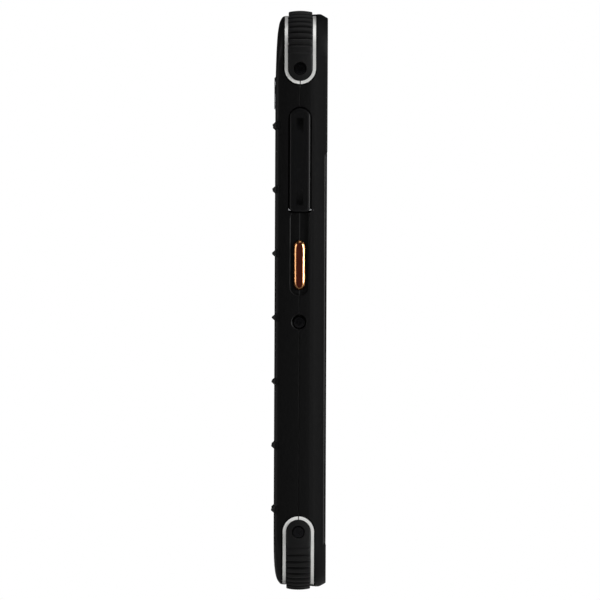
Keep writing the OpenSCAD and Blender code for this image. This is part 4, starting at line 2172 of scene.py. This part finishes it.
@dataclass
class Studio:
    """A white room with a pale floor, soft lamps and the camera.

    Attributes:
        camera_distance: How far away the camera stands, in metres.
        camera_aim: How far to the side and up it stands, in metres.
        world_strength: Strength of the room's own light.
        floor_size: Length of the floor's sides, in metres.
        floor_gap: How far the floor lies below the object, in metres.
        lens: The camera's focal length, in millimetres.
        roll: Its roll, in degrees.
        lamps: The lamps.
    """

    camera_distance: float = 6.0
    camera_aim: tuple[float, float] = (-0.00022, 0.000084)
    lens: float = 1063.2
    roll: float = 0.24
    world_strength: float = 0.022
    floor_size: float = 8.0
    floor_gap: float = 0.0002
    lamps: tuple[Lamp, ...] = (
        Lamp("front_key", (-0.29, -1.0, 0.12), (0.3, 0.8), 25.0),
        Lamp("rear_fill", (-0.33, 0.95, 0.1), (0.3, 0.8), 7.0),
        Lamp("top_soft", (-0.25, -0.1, 1.0), (0.6, 0.6), 3.0),
        Lamp("low_soft", (-0.35, -0.1, -0.7), (0.5, 0.4), 0.8),
    )

    def white_for_camera(
        self, tree: bpy.types.NodeTree, other: bpy.types.NodeSocket, kind: str, color: str
    ) -> bpy.types.NodeSocket:
        """Show plain white to the camera, and something else to all other light.

        Args:
            tree: The node tree.
            other: What the other light meets.
            kind: The emitting shader's type.
            color: Name of its colour socket.

        Returns:
            The mixed shader.
        """
        white = add_node(tree, kind, sockets={color: (1.0, 1.0, 1.0, 1.0), "Strength": 1.0})
        path = add_node(tree, "ShaderNodeLightPath")
        mix = add_node(
            tree,
            "ShaderNodeMixShader",
            sockets={0: path.outputs["Is Camera Ray"], 1: other, 2: white.outputs[0]},
        )
        return mix.outputs[0]

    def build_world(self) -> None:
        """Light the room evenly and dimly, with white behind the object."""
        world = bpy.data.worlds.new("white_room")
        world.use_nodes = True
        tree = world.node_tree
        dim = tree.nodes["Background"]
        dim.inputs["Color"].default_value = tint("#FFFFFF")
        dim.inputs["Strength"].default_value = self.world_strength
        shown = self.white_for_camera(tree, dim.outputs[0], "ShaderNodeBackground", "Color")
        tree.links.new(shown, tree.nodes["World Output"].inputs["Surface"])
        bpy.context.scene.world = world

    def build_floor(self, level: float) -> None:
        """Lay the floor.

        Args:
            level: Its height, in metres.
        """
        bpy.ops.object.select_all(action="DESELECT")
        bpy.ops.mesh.primitive_plane_add(size=self.floor_size, location=(0.0, 0.0, level))
        floor = apply_place(bpy.context.object)
        floor.name = "studio_floor"
        material = bpy.data.materials.new("pale_paper")
        material.use_nodes = True
        tree = material.node_tree
        shader = tree.nodes["Principled BSDF"]
        shader.inputs["Base Color"].default_value = tint("#E8E8E6")
        shader.inputs["Roughness"].default_value = 0.9
        shown = self.white_for_camera(tree, shader.outputs[0], "ShaderNodeEmission", "Color")
        tree.links.new(shown, tree.nodes["Material Output"].inputs["Surface"])
        floor.data.materials.append(material)

    def build_camera(self) -> None:
        """Set the camera up level with the object's middle, facing its left side."""
        data = bpy.data.cameras.new("camera")
        data.sensor_width = 36.0
        data.lens = self.lens
        data.clip_start = 0.01
        camera = bpy.data.objects.new("camera", data)
        camera.location = (-self.camera_distance, *self.camera_aim)
        camera.rotation_euler = (
            math.radians(90.0),
            0.0,
            math.radians(-90.0),
        )
        camera.rotation_euler.rotate_axis("Z", math.radians(self.roll))
        bpy.context.scene.collection.objects.link(camera)
        bpy.context.scene.camera = camera

    def build(self) -> None:
        """Build the studio."""
        self.build_camera()
        self.build_world()
        self.build_floor(CAD_BOX[0].z - self.floor_gap)
        for lamp in self.lamps:
            lamp.build()
        bpy.context.scene.view_settings.view_transform = "Standard"


def main() -> None:
    """Build the data collector and its studio."""
    logging.basicConfig(level=logging.INFO, format="%(name)s: %(message)s")
    at = Datum.read()
    for part in (
        Casings(at),
        CornerGuards(at),
        Covers(),
        Keys(at),
        DisplayUnit(),
        RearCamera(),
        InnerParts(),
        Studio(),
    ):
        LOG.info("building %s", type(part).__name__)
        part.build()


if __name__ == "__main__":
    main()
